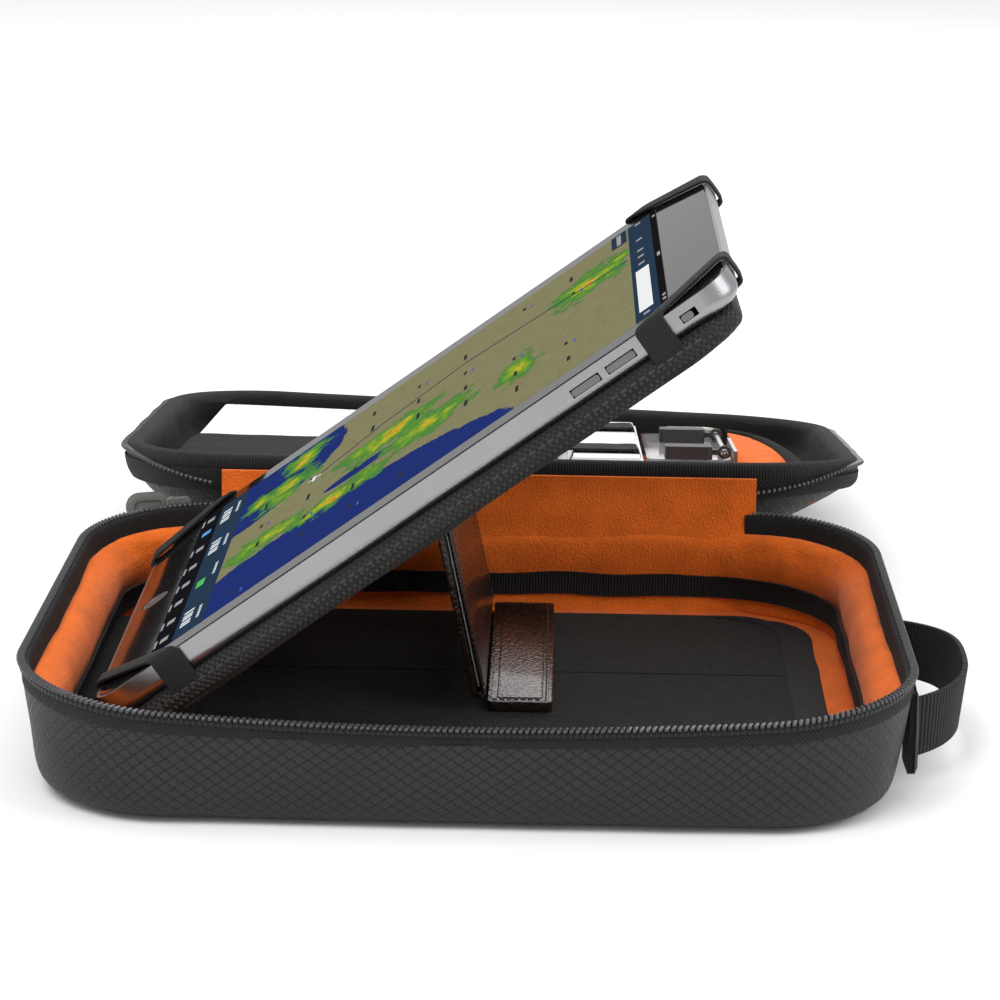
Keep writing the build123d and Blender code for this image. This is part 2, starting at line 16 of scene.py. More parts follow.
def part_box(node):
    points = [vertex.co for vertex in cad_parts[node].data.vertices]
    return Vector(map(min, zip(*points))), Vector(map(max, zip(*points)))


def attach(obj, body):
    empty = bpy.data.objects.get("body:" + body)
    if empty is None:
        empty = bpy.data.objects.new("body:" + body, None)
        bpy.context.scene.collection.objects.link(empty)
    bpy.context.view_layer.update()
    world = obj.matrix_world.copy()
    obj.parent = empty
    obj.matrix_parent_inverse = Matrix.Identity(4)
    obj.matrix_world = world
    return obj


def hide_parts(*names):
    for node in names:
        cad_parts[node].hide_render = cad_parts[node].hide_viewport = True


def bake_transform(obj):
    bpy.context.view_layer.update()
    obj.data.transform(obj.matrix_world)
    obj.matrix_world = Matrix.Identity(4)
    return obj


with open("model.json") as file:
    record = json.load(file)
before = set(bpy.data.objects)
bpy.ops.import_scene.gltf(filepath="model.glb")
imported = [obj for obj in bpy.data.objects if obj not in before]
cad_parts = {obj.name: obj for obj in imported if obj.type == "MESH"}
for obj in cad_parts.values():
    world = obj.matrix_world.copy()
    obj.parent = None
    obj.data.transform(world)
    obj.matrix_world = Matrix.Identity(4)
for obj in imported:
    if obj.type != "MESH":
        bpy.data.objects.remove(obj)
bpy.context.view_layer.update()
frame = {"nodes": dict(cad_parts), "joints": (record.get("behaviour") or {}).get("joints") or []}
cad = frame["nodes"]
MM = 0.001
print("CAD nodes:", len(cad))

# %% [markdown]
# The sizes that many pieces share are worked out once from the frame: the tray's
# plan and the slopes of the lid, the tablet and the stand.

# %% Shared sizes
shell_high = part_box("tray_shell")[1]
HALF_L, HALF_W = shell_high.x, shell_high.y
CORNER = 48 * MM            # radius of the case's plan
LID_TILT = math.radians(8.7)
TAB_TILT = math.radians(36)
STAND_LEAN = math.radians(12)

# The lid's own frame: X along the hinge, Y away from it, Z out of the rim plane.
LID = Matrix.Translation((0, HALF_W + 4 * MM, 62 * MM)) @ Matrix.Rotation(-LID_TILT, 4, "X")
# The tablet's own frame: X up the slope, Y across it, Z out of the glass.
TABLET = Matrix.Translation((-116 * MM, 1 * MM, 34 * MM)) @ Matrix.Rotation(-TAB_TILT, 4, "Y")
# The stand's own frame: Z up the leaning panel, X towards its foot.
fold = next(Vector(j["pos_m"]) for j in frame["joints"] if j["name"] == "stand_fold")
STAND = Matrix.Translation((fold.x, 0, fold.z)) @ Matrix.Rotation(-STAND_LEAN, 4, "Y")
print("half plan", round(HALF_L, 4), round(HALF_W, 4))

# %% [markdown]
# The camera comes first, because everything else is judged through it. It is a
# long lens about a metre away and a little above the case, looking down 15 degrees.

# %% Camera
camera_data = bpy.data.cameras.new("camera")
camera_data.lens, camera_data.sensor_width = 117.0, 36.0
camera = bpy.data.objects.new("camera", camera_data)
bpy.context.collection.objects.link(camera)
camera.location = (0.0285, -1.0564, 0.3662)
aim = Vector((-0.01714, 0.96462, -0.26309))
camera.rotation_euler = aim.to_track_quat("-Z", "Y").to_euler()
camera.rotation_euler.rotate_axis("Z", 0.0132)
bpy.context.scene.camera = camera
print("camera at", tuple(camera.location))

# %% [markdown]
# The studio is a pale floor and big soft lights: one overhead from the front left,
# one from the right, and a bright sky all round, so that black fabric still shows.

# %% Studio
scene = bpy.context.scene
scene.view_settings.view_transform = "Standard"
world = bpy.data.worlds.new("studio")
world.use_nodes = True
sky = world.node_tree.nodes["Background"]
sky.inputs["Color"].default_value = (1, 1, 1, 1)
sky.inputs["Strength"].default_value = 0.85
scene.world = world


def area_light(name, place, target, size, power):
    data = bpy.data.lights.new(name, "AREA")
    data.size, data.energy = size, power
    lamp = bpy.data.objects.new(name, data)
    bpy.context.collection.objects.link(lamp)
    lamp.location = place
    lamp.rotation_euler = (Vector(target) - Vector(place)).to_track_quat("-Z", "Y").to_euler()


area_light("key", (-0.5, -0.9, 1.5), (0, 0.05, 0.05), 0.9, 16)
area_light("fill", (1.3, -0.4, 0.9), (0, 0.05, 0.05), 0.9, 7)
area_light("back", (0.2, 1.5, 1.2), (0, 0.1, 0.05), 1.0, 8)
bpy.ops.mesh.primitive_plane_add(size=12, location=(0, 0, -0.0003))
floor = bpy.context.object
floor.name = "floor"
floor_paint = bpy.data.materials.new("floor")
floor_paint.use_nodes = True
floor_shader = floor_paint.node_tree.nodes["Principled BSDF"]
floor_shader.inputs["Base Color"].default_value = (0.93, 0.93, 0.93, 1)
floor_shader.inputs["Roughness"].default_value = 0.9
floor.data.materials.append(floor_paint)

# %% [markdown]
# Every piece is modelled the same way: a primitive is put down at its size, edited,
# and finished with modifiers. These helpers keep those steps short. Sizes are given
# in millimetres, because that is how the case would be cut and sewn.

# %% Modelling helpers
def only(obj):
    """Select one object and make it active."""
    bpy.ops.object.select_all(action="DESELECT")
    obj.select_set(True)
    bpy.context.view_layer.objects.active = obj
    return obj


def solid(name, low, high):
    """A cube primitive that fills the box between two corners."""
    bpy.ops.object.select_all(action="DESELECT")
    low, high = Vector(low) * MM, Vector(high) * MM
    bpy.ops.mesh.primitive_cube_add(size=1, location=(low + high) / 2, scale=high - low)
    bpy.ops.object.transform_apply(location=True, rotation=False, scale=True)
    bpy.context.object.name = name
    return bpy.context.object


def rod(name, centre, radius, length, axis="Z", sides=24):
    """A cylinder primitive along one axis."""
    bpy.ops.object.select_all(action="DESELECT")
    turn = {"X": (0, math.pi / 2, 0), "Y": (math.pi / 2, 0, 0), "Z": (0, 0, 0)}[axis]
    bpy.ops.mesh.primitive_cylinder_add(vertices=sides, radius=radius * MM, depth=length * MM,
                                        location=Vector(centre) * MM, rotation=turn)
    bpy.ops.object.transform_apply(location=True, rotation=True, scale=True)
    bpy.context.object.name = name
    return bpy.context.object


def pick(obj, kind, test):
    """Enter edit mode with the vertices, edges or faces selected whose middle passes the test."""
    only(obj)
    bpy.ops.object.mode_set(mode="EDIT")
    bpy.ops.mesh.select_mode(type=kind)
    bpy.ops.mesh.select_all(action="DESELECT")
    mesh = bmesh.from_edit_mesh(obj.data)
    for item in {"VERT": mesh.verts, "EDGE": mesh.edges, "FACE": mesh.faces}[kind]:
        corners = [item] if kind == "VERT" else list(item.verts)
        middle = sum((v.co for v in corners), Vector()) / len(corners)
        item.select_set(bool(test(middle / MM, item)))
    mesh.select_flush_mode()
    bmesh.update_edit_mesh(obj.data)


def leave():
    bpy.ops.object.mode_set(mode="OBJECT")


def modify(obj, kind, **values):
    """Add one modifier, set it and apply it."""
    only(obj)
    change = obj.modifiers.new(kind.title(), kind)
    for key, value in values.items():
        setattr(change, key, value)
    bpy.ops.object.modifier_apply(modifier=change.name)
    return obj


def shape(obj, move):
    """Move every vertex with a function that works in millimetres."""
    for v in obj.data.vertices:
        v.co = Vector(move(*(v.co / MM))) * MM
    obj.data.update()
    return obj


def joined(name, parts):
    """Join several objects into one mesh."""
    only(parts[0])
    for part in parts[1:]:
        part.select_set(True)
    bpy.ops.object.join()
    parts[0].name = name
    return parts[0]


def place(obj, material, body, slot, hides=(), frame_of=None, angle=40):
    """Finish a piece: put it in its frame, smooth it, paint it and give it its body."""
    if frame_of is not None:
        obj.data.transform(frame_of)
    only(obj)
    bpy.ops.object.mode_set(mode="EDIT")
    bpy.ops.mesh.select_all(action="SELECT")
    bpy.ops.mesh.normals_make_consistent(inside=False)
    leave()
    bpy.ops.object.shade_smooth_by_angle(angle=math.radians(angle))
    obj.data.materials.clear()
    obj.data.materials.append(material)
    if body is not None:
        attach(obj, body)
    if hides:
        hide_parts(*hides)
    print(obj.name, len(obj.data.polygons), "faces")
    return obj


def finish_as(name, material):
    """Paint a hard piece that keeps its CAD shape."""
    cad[name].data.materials.clear()
    cad[name].data.materials.append(material)


# %% [markdown]
# Soft goods are never quite straight. A smooth noise gives each one the slight
# waves of sewn cloth, and it is the same in every run because it has no seed.

# %% Small waves
def wave(x, y, z, size, seed=0.0):
    """A smooth value from -1 to 1 that changes over about size millimetres."""
    return noise.noise(Vector((x / size + seed, y / size, z / size)))


def ramp(value, low, high):
    """0 below low, 1 above high, and a smooth step between."""
    t = min(max((value - low) / (high - low), 0.0), 1.0)
    return t * t * (3 - 2 * t)


# %% [markdown]
# The walls, linings, tapes and zipper all follow the same rounded outline. So they are
# made as a tailor makes them: flat strips, then bent round the case. `round_rim` gives
# the place that lies a length s along the outline and a depth inside it.

# %% The case's outline
RIM_R = CORNER / MM
SIDE_X, SIDE_Y = HALF_L / MM - RIM_R, HALF_W / MM - RIM_R
ARC = RIM_R * math.pi / 2
ROUND = 4 * (SIDE_X + SIDE_Y) + 4 * ARC
HINGE = SIDE_X - 1
CORNERS = [(-SIDE_X, SIDE_Y), (-SIDE_X, -SIDE_Y), (SIDE_X, -SIDE_Y), (SIDE_X, SIDE_Y), (0, SIDE_Y)]


def round_rim(s, inside):
    """The point s millimetres round from the hinge's middle, moved in from the outline."""
    s, bearing, centre = s % ROUND, 90.0, Vector((0, SIDE_Y))
    for corner, run in zip(CORNERS, (SIDE_X, 2 * SIDE_Y, 2 * SIDE_X, 2 * SIDE_Y, SIDE_X)):
        if s <= run:
            centre = centre.lerp(Vector(corner), s / run)
            break
        s, centre = s - run, Vector(corner)
        if s <= ARC:
            bearing += 90 * s / ARC
            break
        s, bearing = s - ARC, bearing + 90
    a = math.radians(bearing)
    return centre.x + (RIM_R - inside) * math.cos(a), centre.y + (RIM_R - inside) * math.sin(a)


print("outline is", round(ROUND), "mm round, and the hinge takes", round(2 * HINGE))


# %% [markdown]
# Left standing open, the soft tray settles: its front rim sags between the corners. The
# lid lies twisted, with its far left corner up. All their soft pieces share these moves.

# %% How the open case settles
FRONT_SAG, BACK_LIFT, TRAY_RIM = 8.0, 1.5, 44


def tray_settles(x, y, z):
    """The front rim sags, the back one rises a little, and the base stays put."""
    front = min(max((-y - SIDE_Y) / RIM_R, 0), 1)
    sag = -FRONT_SAG * max(0, 1 - (x * MM / HALF_L) ** 2) * front
    lift = BACK_LIFT * min(max((y - SIDE_Y) / RIM_R, 0), 1)
    share = min(max(z / TRAY_RIM, 0), 1)
    return x + 1.0, y, z + (sag + lift) * share


def twist(x):
    """How much higher the lid's far edge lies than it should, at each place across."""
    return 2.6 - 4.8 * x / 140


def lid_settles(x, y, z):
    """In the lid's flat frame, where the hinge side is at y = -112 before it is turned."""
    v = (y + HALF_W / MM) / (2 * HALF_W / MM)
    rise = v * twist(x)
    thin = ramp(x, 95, 140)
    z = z if z > -8 else -8 + (z + 8) * (1 - 0.45 * thin)
    return x + 2.0 + 3.0 * max(0, -x) / 143, y, z + rise


LID_MIDDLE = LID @ Matrix.Translation((0, HALF_W, 0))


# %% Strips that go round the rim
def rim_band(name, span, profile, spacing=4.0, closed=False):
    """A grid bent round the outline. The profile gives (depth inside, height) across it."""
    bpy.ops.object.select_all(action="DESELECT")
    rows, length = len(profile) - 1, span[1] - span[0]
    bpy.ops.mesh.primitive_grid_add(x_subdivisions=round(length / spacing), y_subdivisions=rows, size=1)
    band = bpy.context.object
    band.name = name
    reach = [0.0]
    for a, b in zip(profile, profile[1:]):
        reach.append(reach[-1] + math.dist(a, b))
    for corner in band.data.uv_layers.active.data:
        u, v = corner.uv
        corner.uv = ((span[0] + u * length) * MM, reach[round(v * rows)] * MM)
    for v in band.data.vertices:
        s = span[0] + (v.co.x + 0.5) * length
        inside, height = profile[round((v.co.y + 0.5) * rows)]
        v.co = Vector((*round_rim(s, inside), height)) * MM
    if closed:
        pick(band, "VERT", lambda p, v: v.is_boundary and abs(p.x) < 0.01)
        bpy.ops.mesh.remove_doubles(threshold=0.00005)
        leave()
    return band


def fill_base(band):
    """Close the hole that a strip leaves in its lowest level, and unwrap the new faces flat."""
    sides = len(band.data.polygons)
    lowest = min(v.co.z for v in band.data.vertices) / MM
    pick(band, "EDGE", lambda p, e: e.is_boundary and abs(p.z - lowest) < 0.02)
    bpy.ops.mesh.edge_face_add()
    bpy.ops.mesh.poke()
    leave()
    uvs = band.data.uv_layers.active.data
    for face in list(band.data.polygons)[sides:]:
        for loop, corner in zip(face.loop_indices, face.vertices):
            uvs[loop].uv = band.data.vertices[corner].co.xy
    return band


def thicken(band, thickness, offset):
    """Round a strip's bends and give it the thickness of its cloth."""
    modify(band, "SUBSURF", levels=1, render_levels=1)
    return modify(band, "SOLIDIFY", thickness=thickness * MM, offset=offset)


def turn_half(obj):
    """The lid's hinge side is in front, so its strips are turned half way round."""
    return shape(obj, lambda x, y, z: (-x, -y, z))

# %% [markdown]
# ## Materials
# Cloth is told apart by its weave, so the weaves are shader groups with named inputs.
# They take a position in metres and give a height for bump and a mask for colour, and
# each material uses them with its own pitch.

# %% Shader helpers
def node(tree, kind, **values):
    """Add a node, set its properties, and set or link the inputs given by name or number."""
    made = tree.nodes.new(kind)
    inputs = values.pop("inputs", {})
    for key, value in values.items():
        setattr(made, key, value)
    for key, value in inputs.items():
        if isinstance(value, bpy.types.NodeSocket):
            tree.links.new(value, made.inputs[key])
        else:
            made.inputs[key].default_value = value
    return made


def group(name, inputs, outputs):
    """A new shader group with sockets of the given kinds."""
    tree = bpy.data.node_groups.new(name, "ShaderNodeTree")
    for label, kind in inputs:
        tree.interface.new_socket(name=label, in_out="INPUT", socket_type=kind)
    for label, kind in outputs:
        tree.interface.new_socket(name=label, in_out="OUTPUT", socket_type=kind)
    return tree, tree.nodes.new("NodeGroupInput"), tree.nodes.new("NodeGroupOutput")


def maths(tree, operation, *values, clamp=False):
    made = tree.nodes.new("ShaderNodeMath")
    made.operation, made.use_clamp = operation, clamp
    for socket, value in zip(made.inputs, values):
        if isinstance(value, bpy.types.NodeSocket):
            tree.links.new(value, socket)
        else:
            socket.default_value = value
    return made.outputs[0]


V, F = "NodeSocketVector", "NodeSocketFloat"
TURN = 6.2832    # radians in one turn

# %% Weave group
weave, g_in, g_out = group("Weave", [("Vector", V), ("Pitch", F)], [("Height", F)])
scaled = node(weave, "ShaderNodeVectorMath", operation="SCALE",
              inputs={0: g_in.outputs["Vector"],
                      "Scale": maths(weave, "DIVIDE", TURN, g_in.outputs["Pitch"])})
sines = node(weave, "ShaderNodeVectorMath", operation="SINE", inputs={0: scaled.outputs[0]})
parts = node(weave, "ShaderNodeSeparateXYZ", inputs={0: sines.outputs[0]})
xy = maths(weave, "MULTIPLY", parts.outputs[0], parts.outputs[1])
yz = maths(weave, "MULTIPLY", parts.outputs[1], parts.outputs[2])
zx = maths(weave, "MULTIPLY", parts.outputs[2], parts.outputs[0])
total = maths(weave, "ADD", maths(weave, "ADD", xy, yz), zx)
weave.links.new(maths(weave, "MULTIPLY_ADD", total, 0.5, 0.5), g_out.inputs["Height"])

# %% Rib group
ribs, g_in, g_out = group("Ribs", [("Vector", V), ("Direction", V), ("Pitch", F)], [("Height", F)])
along = node(ribs, "ShaderNodeVectorMath", operation="DOT_PRODUCT",
             inputs={0: g_in.outputs["Vector"], 1: g_in.outputs["Direction"]})
turns = maths(ribs, "MULTIPLY", along.outputs["Value"], maths(ribs, "DIVIDE", TURN, g_in.outputs["Pitch"]))
ribs.links.new(maths(ribs, "MULTIPLY_ADD", maths(ribs, "SINE", turns), 0.5, 0.5), g_out.inputs["Height"])

# %% Patchy wear group
patchy, g_in, g_out = group("Patchy", [("Vector", V), ("Size", F), ("Amount", F)], [("Shade", F)])
cloud = node(patchy, "ShaderNodeTexNoise", inputs={"Vector": g_in.outputs["Vector"], "Detail": 4.0,
             "Scale": maths(patchy, "DIVIDE", 1.0, g_in.outputs["Size"])})
centred = maths(patchy, "SUBTRACT", cloud.outputs["Fac"], 0.5)
patchy.links.new(maths(patchy, "MULTIPLY_ADD", centred, g_in.outputs["Amount"], 1.0), g_out.inputs["Shade"])

# %% Diamond group
# Two families of slanting lines make the diamonds of ripstop. Across is their width and
# Up their height, and Line is 1 on the raised threads.
diamond, g_in, g_out = group("Diamonds", [("Vector", V), ("Across", F), ("Up", F)], [("Line", F)])
parts = node(diamond, "ShaderNodeSeparateXYZ", inputs={0: g_in.outputs["Vector"]})
u = maths(diamond, "DIVIDE", parts.outputs[0], g_in.outputs["Across"])
v = maths(diamond, "DIVIDE", parts.outputs[1], g_in.outputs["Up"])
bend = maths(diamond, "MULTIPLY", maths(diamond, "SINE", maths(diamond, "MULTIPLY", v, 2 * TURN)), 0.045)
lines = []
for sign in ("ADD", "SUBTRACT"):
    slant = maths(diamond, sign, maths(diamond, "ADD", u, bend), v)
    lines.append(maths(diamond, "ABSOLUTE", maths(diamond, "SUBTRACT", maths(diamond, "FRACT", slant), 0.5)))
nearest = maths(diamond, "MAXIMUM", *lines)
edge = node(diamond, "ShaderNodeMapRange", interpolation_type="SMOOTHSTEP",
            inputs={"Value": nearest, "From Min": 0.40, "From Max": 0.47})
diamond.links.new(edge.outputs[0], g_out.inputs["Line"])


# %% Material helper
def paint(name, color, roughness, **sockets):
    """A material with a Principled shader and a place to plug colour and bump in."""
    material = bpy.data.materials.new(name)
    material.use_nodes = True
    shader = material.node_tree.nodes["Principled BSDF"]
    shader.inputs["Base Color"].default_value = (*color, 1)
    shader.inputs["Roughness"].default_value = roughness
    for key, value in sockets.items():
        shader.inputs[key.replace("_", " ")].default_value = value
    return material, material.node_tree, shader


def position(tree, kind="Object", turn=(0, 0, 0)):
    """Object or UV coordinates, turned for pieces that lie on a slope."""
    coords = tree.nodes.new("ShaderNodeTexCoord").outputs[kind]
    if turn == (0, 0, 0):
        return coords
    return node(tree, "ShaderNodeMapping", vector_type="POINT",
                inputs={"Vector": coords, "Rotation": turn}).outputs[0]


def use(tree, which, **inputs):
    """Put a shared group in a material."""
    made = tree.nodes.new("ShaderNodeGroup")
    made.node_tree = which
    for key, value in inputs.items():
        if isinstance(value, bpy.types.NodeSocket):
            tree.links.new(value, made.inputs[key])
        else:
            made.inputs[key].default_value = value
    return made.outputs


def tint(tree, shader, color, shade):
    """Multiply a colour by a shade that varies over the surface."""
    mixed = node(tree, "ShaderNodeVectorMath", operation="SCALE", inputs={0: color, "Scale": shade})
    tree.links.new(mixed.outputs[0], shader.inputs["Base Color"])


def raise_by(tree, shader, height, distance, strength=1.0):
    """Plug a height into a bump."""
    bump = node(tree, "ShaderNodeBump", inputs={"Height": height, "Distance": distance, "Strength": strength})
    tree.links.new(bump.outputs[0], shader.inputs["Normal"])


# %% [markdown]
# Fleece scatters light from its brushed fibres, which sheen gives, and its nap shows as
# soft blotches over a fine knit.

# %% Fleece
def fleece(name, color, sheen, turn=(0, 0, 0)):
    material, tree, shader = paint(name, color, 0.95, Sheen_Weight=sheen, Sheen_Roughness=0.4,
                                   Specular_IOR_Level=0.15)
    where = position(tree, "Object", turn)
    shade = use(tree, patchy, Vector=where, Size=0.012, Amount=0.55)["Shade"]
    nap = node(tree, "ShaderNodeTexNoise", inputs={"Vector": where, "Scale": 1300.0, "Detail": 3.0})
    knit = use(tree, ribs, Vector=where, Direction=(1, 1, 0), Pitch=0.0014)["Height"]
    fibre = maths(tree, "MULTIPLY_ADD", nap.outputs["Fac"], 0.5, 0.75)
    tint(tree, shader, color, maths(tree, "MULTIPLY", shade, fibre))
    raise_by(tree, shader, maths(tree, "MULTIPLY_ADD", knit, 0.06, nap.outputs["Fac"]), 0.0005)
    return material


ORANGE = (0.80, 0.155, 0.018)
orange_fleece = fleece("orange_fleece", ORANGE, 0.12)
black_fleece = fleece("black_fleece", (0.009, 0.009, 0.0085), 0.05)


# %% Woven and ribbed cloths
def ribbed(name, color, pitch, direction, kind="UV", rough=0.75, depth=0.0004, turn=(0, 0, 0)):
    """Cloth with raised ribs in one direction, such as tape, binding or elastic, its colour painted darker in
    the grooves and lighter on the rib tops.
    """
    material, tree, shader = paint(name, color, rough, Sheen_Weight=0.04, Specular_IOR_Level=0.2)
    where = position(tree, kind, turn)
    height = use(tree, ribs, Vector=where, Direction=direction, Pitch=pitch)["Height"]
    fine = use(tree, weave, Vector=where, Pitch=pitch * 0.45)["Height"]
    shade = use(tree, patchy, Vector=where, Size=0.010, Amount=0.5)["Shade"]
    # Painted shade and highlight: the colour follows the rib height, dark in the grooves and light on the ribs.
    tint(tree, shader, color, maths(tree, "MULTIPLY", shade, maths(tree, "MULTIPLY_ADD", height, 0.9, 0.5)))
    raise_by(tree, shader, maths(tree, "MULTIPLY_ADD", fine, 0.3, height), depth)
    return material


def woven(name, color, pitch, kind="Object", rough=0.6, depth=0.0004, turn=(0, 0, 0), light=1.4):
    """A plain heavy weave whose threads cross, its colour painted lighter on the thread tops and darker in the
    hollows.
    """
    material, tree, shader = paint(name, color, rough, Sheen_Weight=0.03, Specular_IOR_Level=0.25)
    where = position(tree, kind, turn)
    height = use(tree, weave, Vector=where, Pitch=pitch)["Height"]
    shade = use(tree, patchy, Vector=where, Size=0.015, Amount=0.4)["Shade"]
    # Painted highlight and shade: the colour follows the weave's height, light on the thread tops and dark in
    # the hollows between them.
    tint(tree, shader, color, maths(tree, "MULTIPLY", shade, maths(tree, "MULTIPLY_ADD", height, light, 0.35)))
    raise_by(tree, shader, height, depth)
    return material


TILT = (0, TAB_TILT, 0)
woven_binding = ribbed("woven_binding", (0.016, 0.016, 0.015), 0.0011, (1, 0, 0))
zip_tape = ribbed("zip_tape", (0.014, 0.014, 0.014), 0.0010, (0.8, 0.6, 0))
zip_chain = ribbed("zip_chain", (0.016, 0.016, 0.017), 0.0019, (1, 0, 0), depth=0.0006, rough=0.45)
webbing = ribbed("webbing", (0.014, 0.014, 0.014), 0.0016, (1, 0, 0), depth=0.0005)
elastic = ribbed("elastic", (0.012, 0.012, 0.012), 0.0013, (0.7, 0.7, 0), depth=0.0005)
strap_elastic = ribbed("strap_elastic", (0.013, 0.013, 0.013), 0.0009, (0, 1, 0), depth=0.0002, rough=0.7)
board_nylon = woven("board_nylon", (0.013, 0.013, 0.0125), 0.0021, turn=TILT, rough=0.6, depth=0.0004)

# %% Loop pile
loop_pile, tree, shader = paint("loop_pile", (0.014, 0.014, 0.013), 0.95, Sheen_Weight=0.06,
                                Specular_IOR_Level=0.15)
where = position(tree)
curls = node(tree, "ShaderNodeTexNoise",
             inputs={"Vector": where, "Scale": 900.0, "Detail": 4.0, "Roughness": 0.7})
clumps = use(tree, patchy, Vector=where, Size=0.006, Amount=0.7)["Shade"]
tint(tree, shader, (0.017, 0.017, 0.015),
     maths(tree, "MULTIPLY", clumps, maths(tree, "MULTIPLY_ADD", curls.outputs["Fac"], 3.0, -0.6)))
raise_by(tree, shader, curls.outputs["Fac"], 0.0012)

# %% [markdown]
# The outer fabric is a diamond ripstop: thick threads make a net of diamonds over a
# dark coated cloth. The net is glossier than the ground, so it lights up at the corners.

# %% Ripstop
ripstop, tree, shader = paint("ripstop", (0.013, 0.013, 0.014), 0.55, Specular_IOR_Level=0.32)
where = position(tree, "UV")
net = use(tree, diamond, Vector=where, Across=0.0052, Up=0.0046)["Line"]
ground = use(tree, weave, Vector=where, Pitch=0.0007)["Height"]
shade = use(tree, patchy, Vector=position(tree), Size=0.03, Amount=0.5)["Shade"]
net_colour = node(tree, "ShaderNodeMix", data_type="RGBA",
                  inputs={"Factor": net, 6: (0.018, 0.018, 0.0195, 1), 7: (0.003, 0.003, 0.0035, 1)})
tinted = node(tree, "ShaderNodeVectorMath", operation="SCALE",
              inputs={0: net_colour.outputs[2], "Scale": shade})
tree.links.new(tinted.outputs[0], shader.inputs["Base Color"])
tree.links.new(maths(tree, "MULTIPLY_ADD", net, -0.22, 0.56), shader.inputs["Roughness"])
raise_by(tree, shader, maths(tree, "MULTIPLY_ADD", ground, 0.15, net), 0.0004)


# %% Plain hard finishes
def hard(name, color, roughness, grain=0.15, scale=400.0, bump=0.00005, **sockets):
    """Plastic, metal or paper, with a fine grain in its gloss and a little unevenness."""
    material, tree, shader = paint(name, color, roughness, **sockets)
    where = position(tree)
    spots = node(tree, "ShaderNodeTexNoise", inputs={"Vector": where, "Scale": scale, "Detail": 3.0})
    shade = use(tree, patchy, Vector=where, Size=0.02, Amount=0.12)["Shade"]
    tint(tree, shader, color, shade)
    tree.links.new(maths(tree, "MULTIPLY_ADD", spots.outputs["Fac"], grain, roughness - grain / 2),
                   shader.inputs["Roughness"])
    raise_by(tree, shader, spots.outputs["Fac"], bump)
    return material


zip_coil = hard("zip_coil", (0.045, 0.045, 0.048), 0.28)
zip_metal = hard("zip_metal", (0.20, 0.20, 0.19), 0.5, scale=700, bump=0.0002, Metallic=0.3)
pen_body = hard("pen_body", (0.02, 0.02, 0.022), 0.25)
valve = hard("valve", (0.62, 0.64, 0.66), 0.3)
silver = hard("silver", (0.62, 0.61, 0.58), 0.2, Metallic=1.0)
key_head = hard("key_head", (0.018, 0.018, 0.018), 0.45, scale=900, bump=0.0001)
aluminium = hard("aluminium", (0.30, 0.30, 0.31), 0.30, scale=1500, Metallic=1.0)
button_black = hard("button_black", (0.01, 0.01, 0.01), 0.3)
button_metal = hard("button_metal", (0.16, 0.16, 0.165), 0.35, Metallic=1.0)
battery_foil = hard("battery_foil", (0.08, 0.08, 0.08), 0.4)
card = hard("card", (0.82, 0.83, 0.84), 0.55, scale=1200)
thread = hard("thread", (0.03, 0.03, 0.028), 0.7)

# %% Clear cup
clear_plastic, tree, shader = paint("clear_plastic", (0.93, 0.96, 0.97), 0.06, IOR=1.3,
                                    Transmission_Weight=0.85, Alpha=1.0)
haze = node(tree, "ShaderNodeTexNoise", inputs={"Vector": position(tree), "Scale": 90.0, "Detail": 3.0})
tree.links.new(maths(tree, "MULTIPLY_ADD", haze.outputs["Fac"], 0.16, 0.02), shader.inputs["Roughness"])

# %% Leatherette
leatherette, tree, shader = paint("leatherette", (0.014, 0.008, 0.006), 0.28, Specular_IOR_Level=0.35,
                                  Coat_Weight=0.25, Coat_Roughness=0.1)
where = position(tree)
pebbles = node(tree, "ShaderNodeTexVoronoi", inputs={"Vector": where, "Scale": 650.0})
shade = use(tree, patchy, Vector=where, Size=0.02, Amount=0.9)["Shade"]
tint(tree, shader, (0.014, 0.008, 0.006), shade)
tree.links.new(maths(tree, "MULTIPLY_ADD", pebbles.outputs["Distance"], 0.15, 0.2), shader.inputs["Roughness"])
raise_by(tree, shader, pebbles.outputs["Distance"], 0.00025)

# %% Ruled paper
ruled_paper, tree, shader = paint("ruled_paper", (0.86, 0.87, 0.9), 0.7)
where = position(tree)
line = use(tree, ribs, Vector=where, Direction=(1, 0, 0), Pitch=0.0071)["Height"]
on_line = node(tree, "ShaderNodeMapRange", inputs={"Value": line, "From Min": 0.93, "From Max": 0.98})
colour = node(tree, "ShaderNodeMix", data_type="RGBA",
              inputs={"Factor": maths(tree, "MULTIPLY", on_line.outputs[0], 0.55),
                      6: (0.87, 0.88, 0.90, 1), 7: (0.45, 0.55, 0.75, 1)})
tree.links.new(colour.outputs[2], shader.inputs["Base Color"])
fibre = node(tree, "ShaderNodeTexNoise", inputs={"Vector": where, "Scale": 1500.0})
raise_by(tree, shader, fibre.outputs["Fac"], 0.00008)
print("materials:", len(bpy.data.materials), "groups:", len(bpy.data.node_groups))

# %% [markdown]
# ## The screen
# The moving map is painted in nodes: land and water, radar echoes from green to red, a
# scatter of roads. The bars, buttons and route round it are thin films laid on top later.

# %% Screen group
blob, g_in, g_out = group("Blob", [("Vector", V), ("Middle", V), ("Reach", V)], [("Field", F)])
off = node(blob, "ShaderNodeVectorMath", operation="SUBTRACT",
           inputs={0: g_in.outputs["Vector"], 1: g_in.outputs["Middle"]})
share = node(blob, "ShaderNodeVectorMath", operation="DIVIDE",
             inputs={0: off.outputs[0], 1: g_in.outputs["Reach"]})
far = node(blob, "ShaderNodeVectorMath", operation="LENGTH", inputs={0: share.outputs[0]})
blob.links.new(maths(blob, "SUBTRACT", 1.0, far.outputs["Value"]), g_out.inputs["Field"])

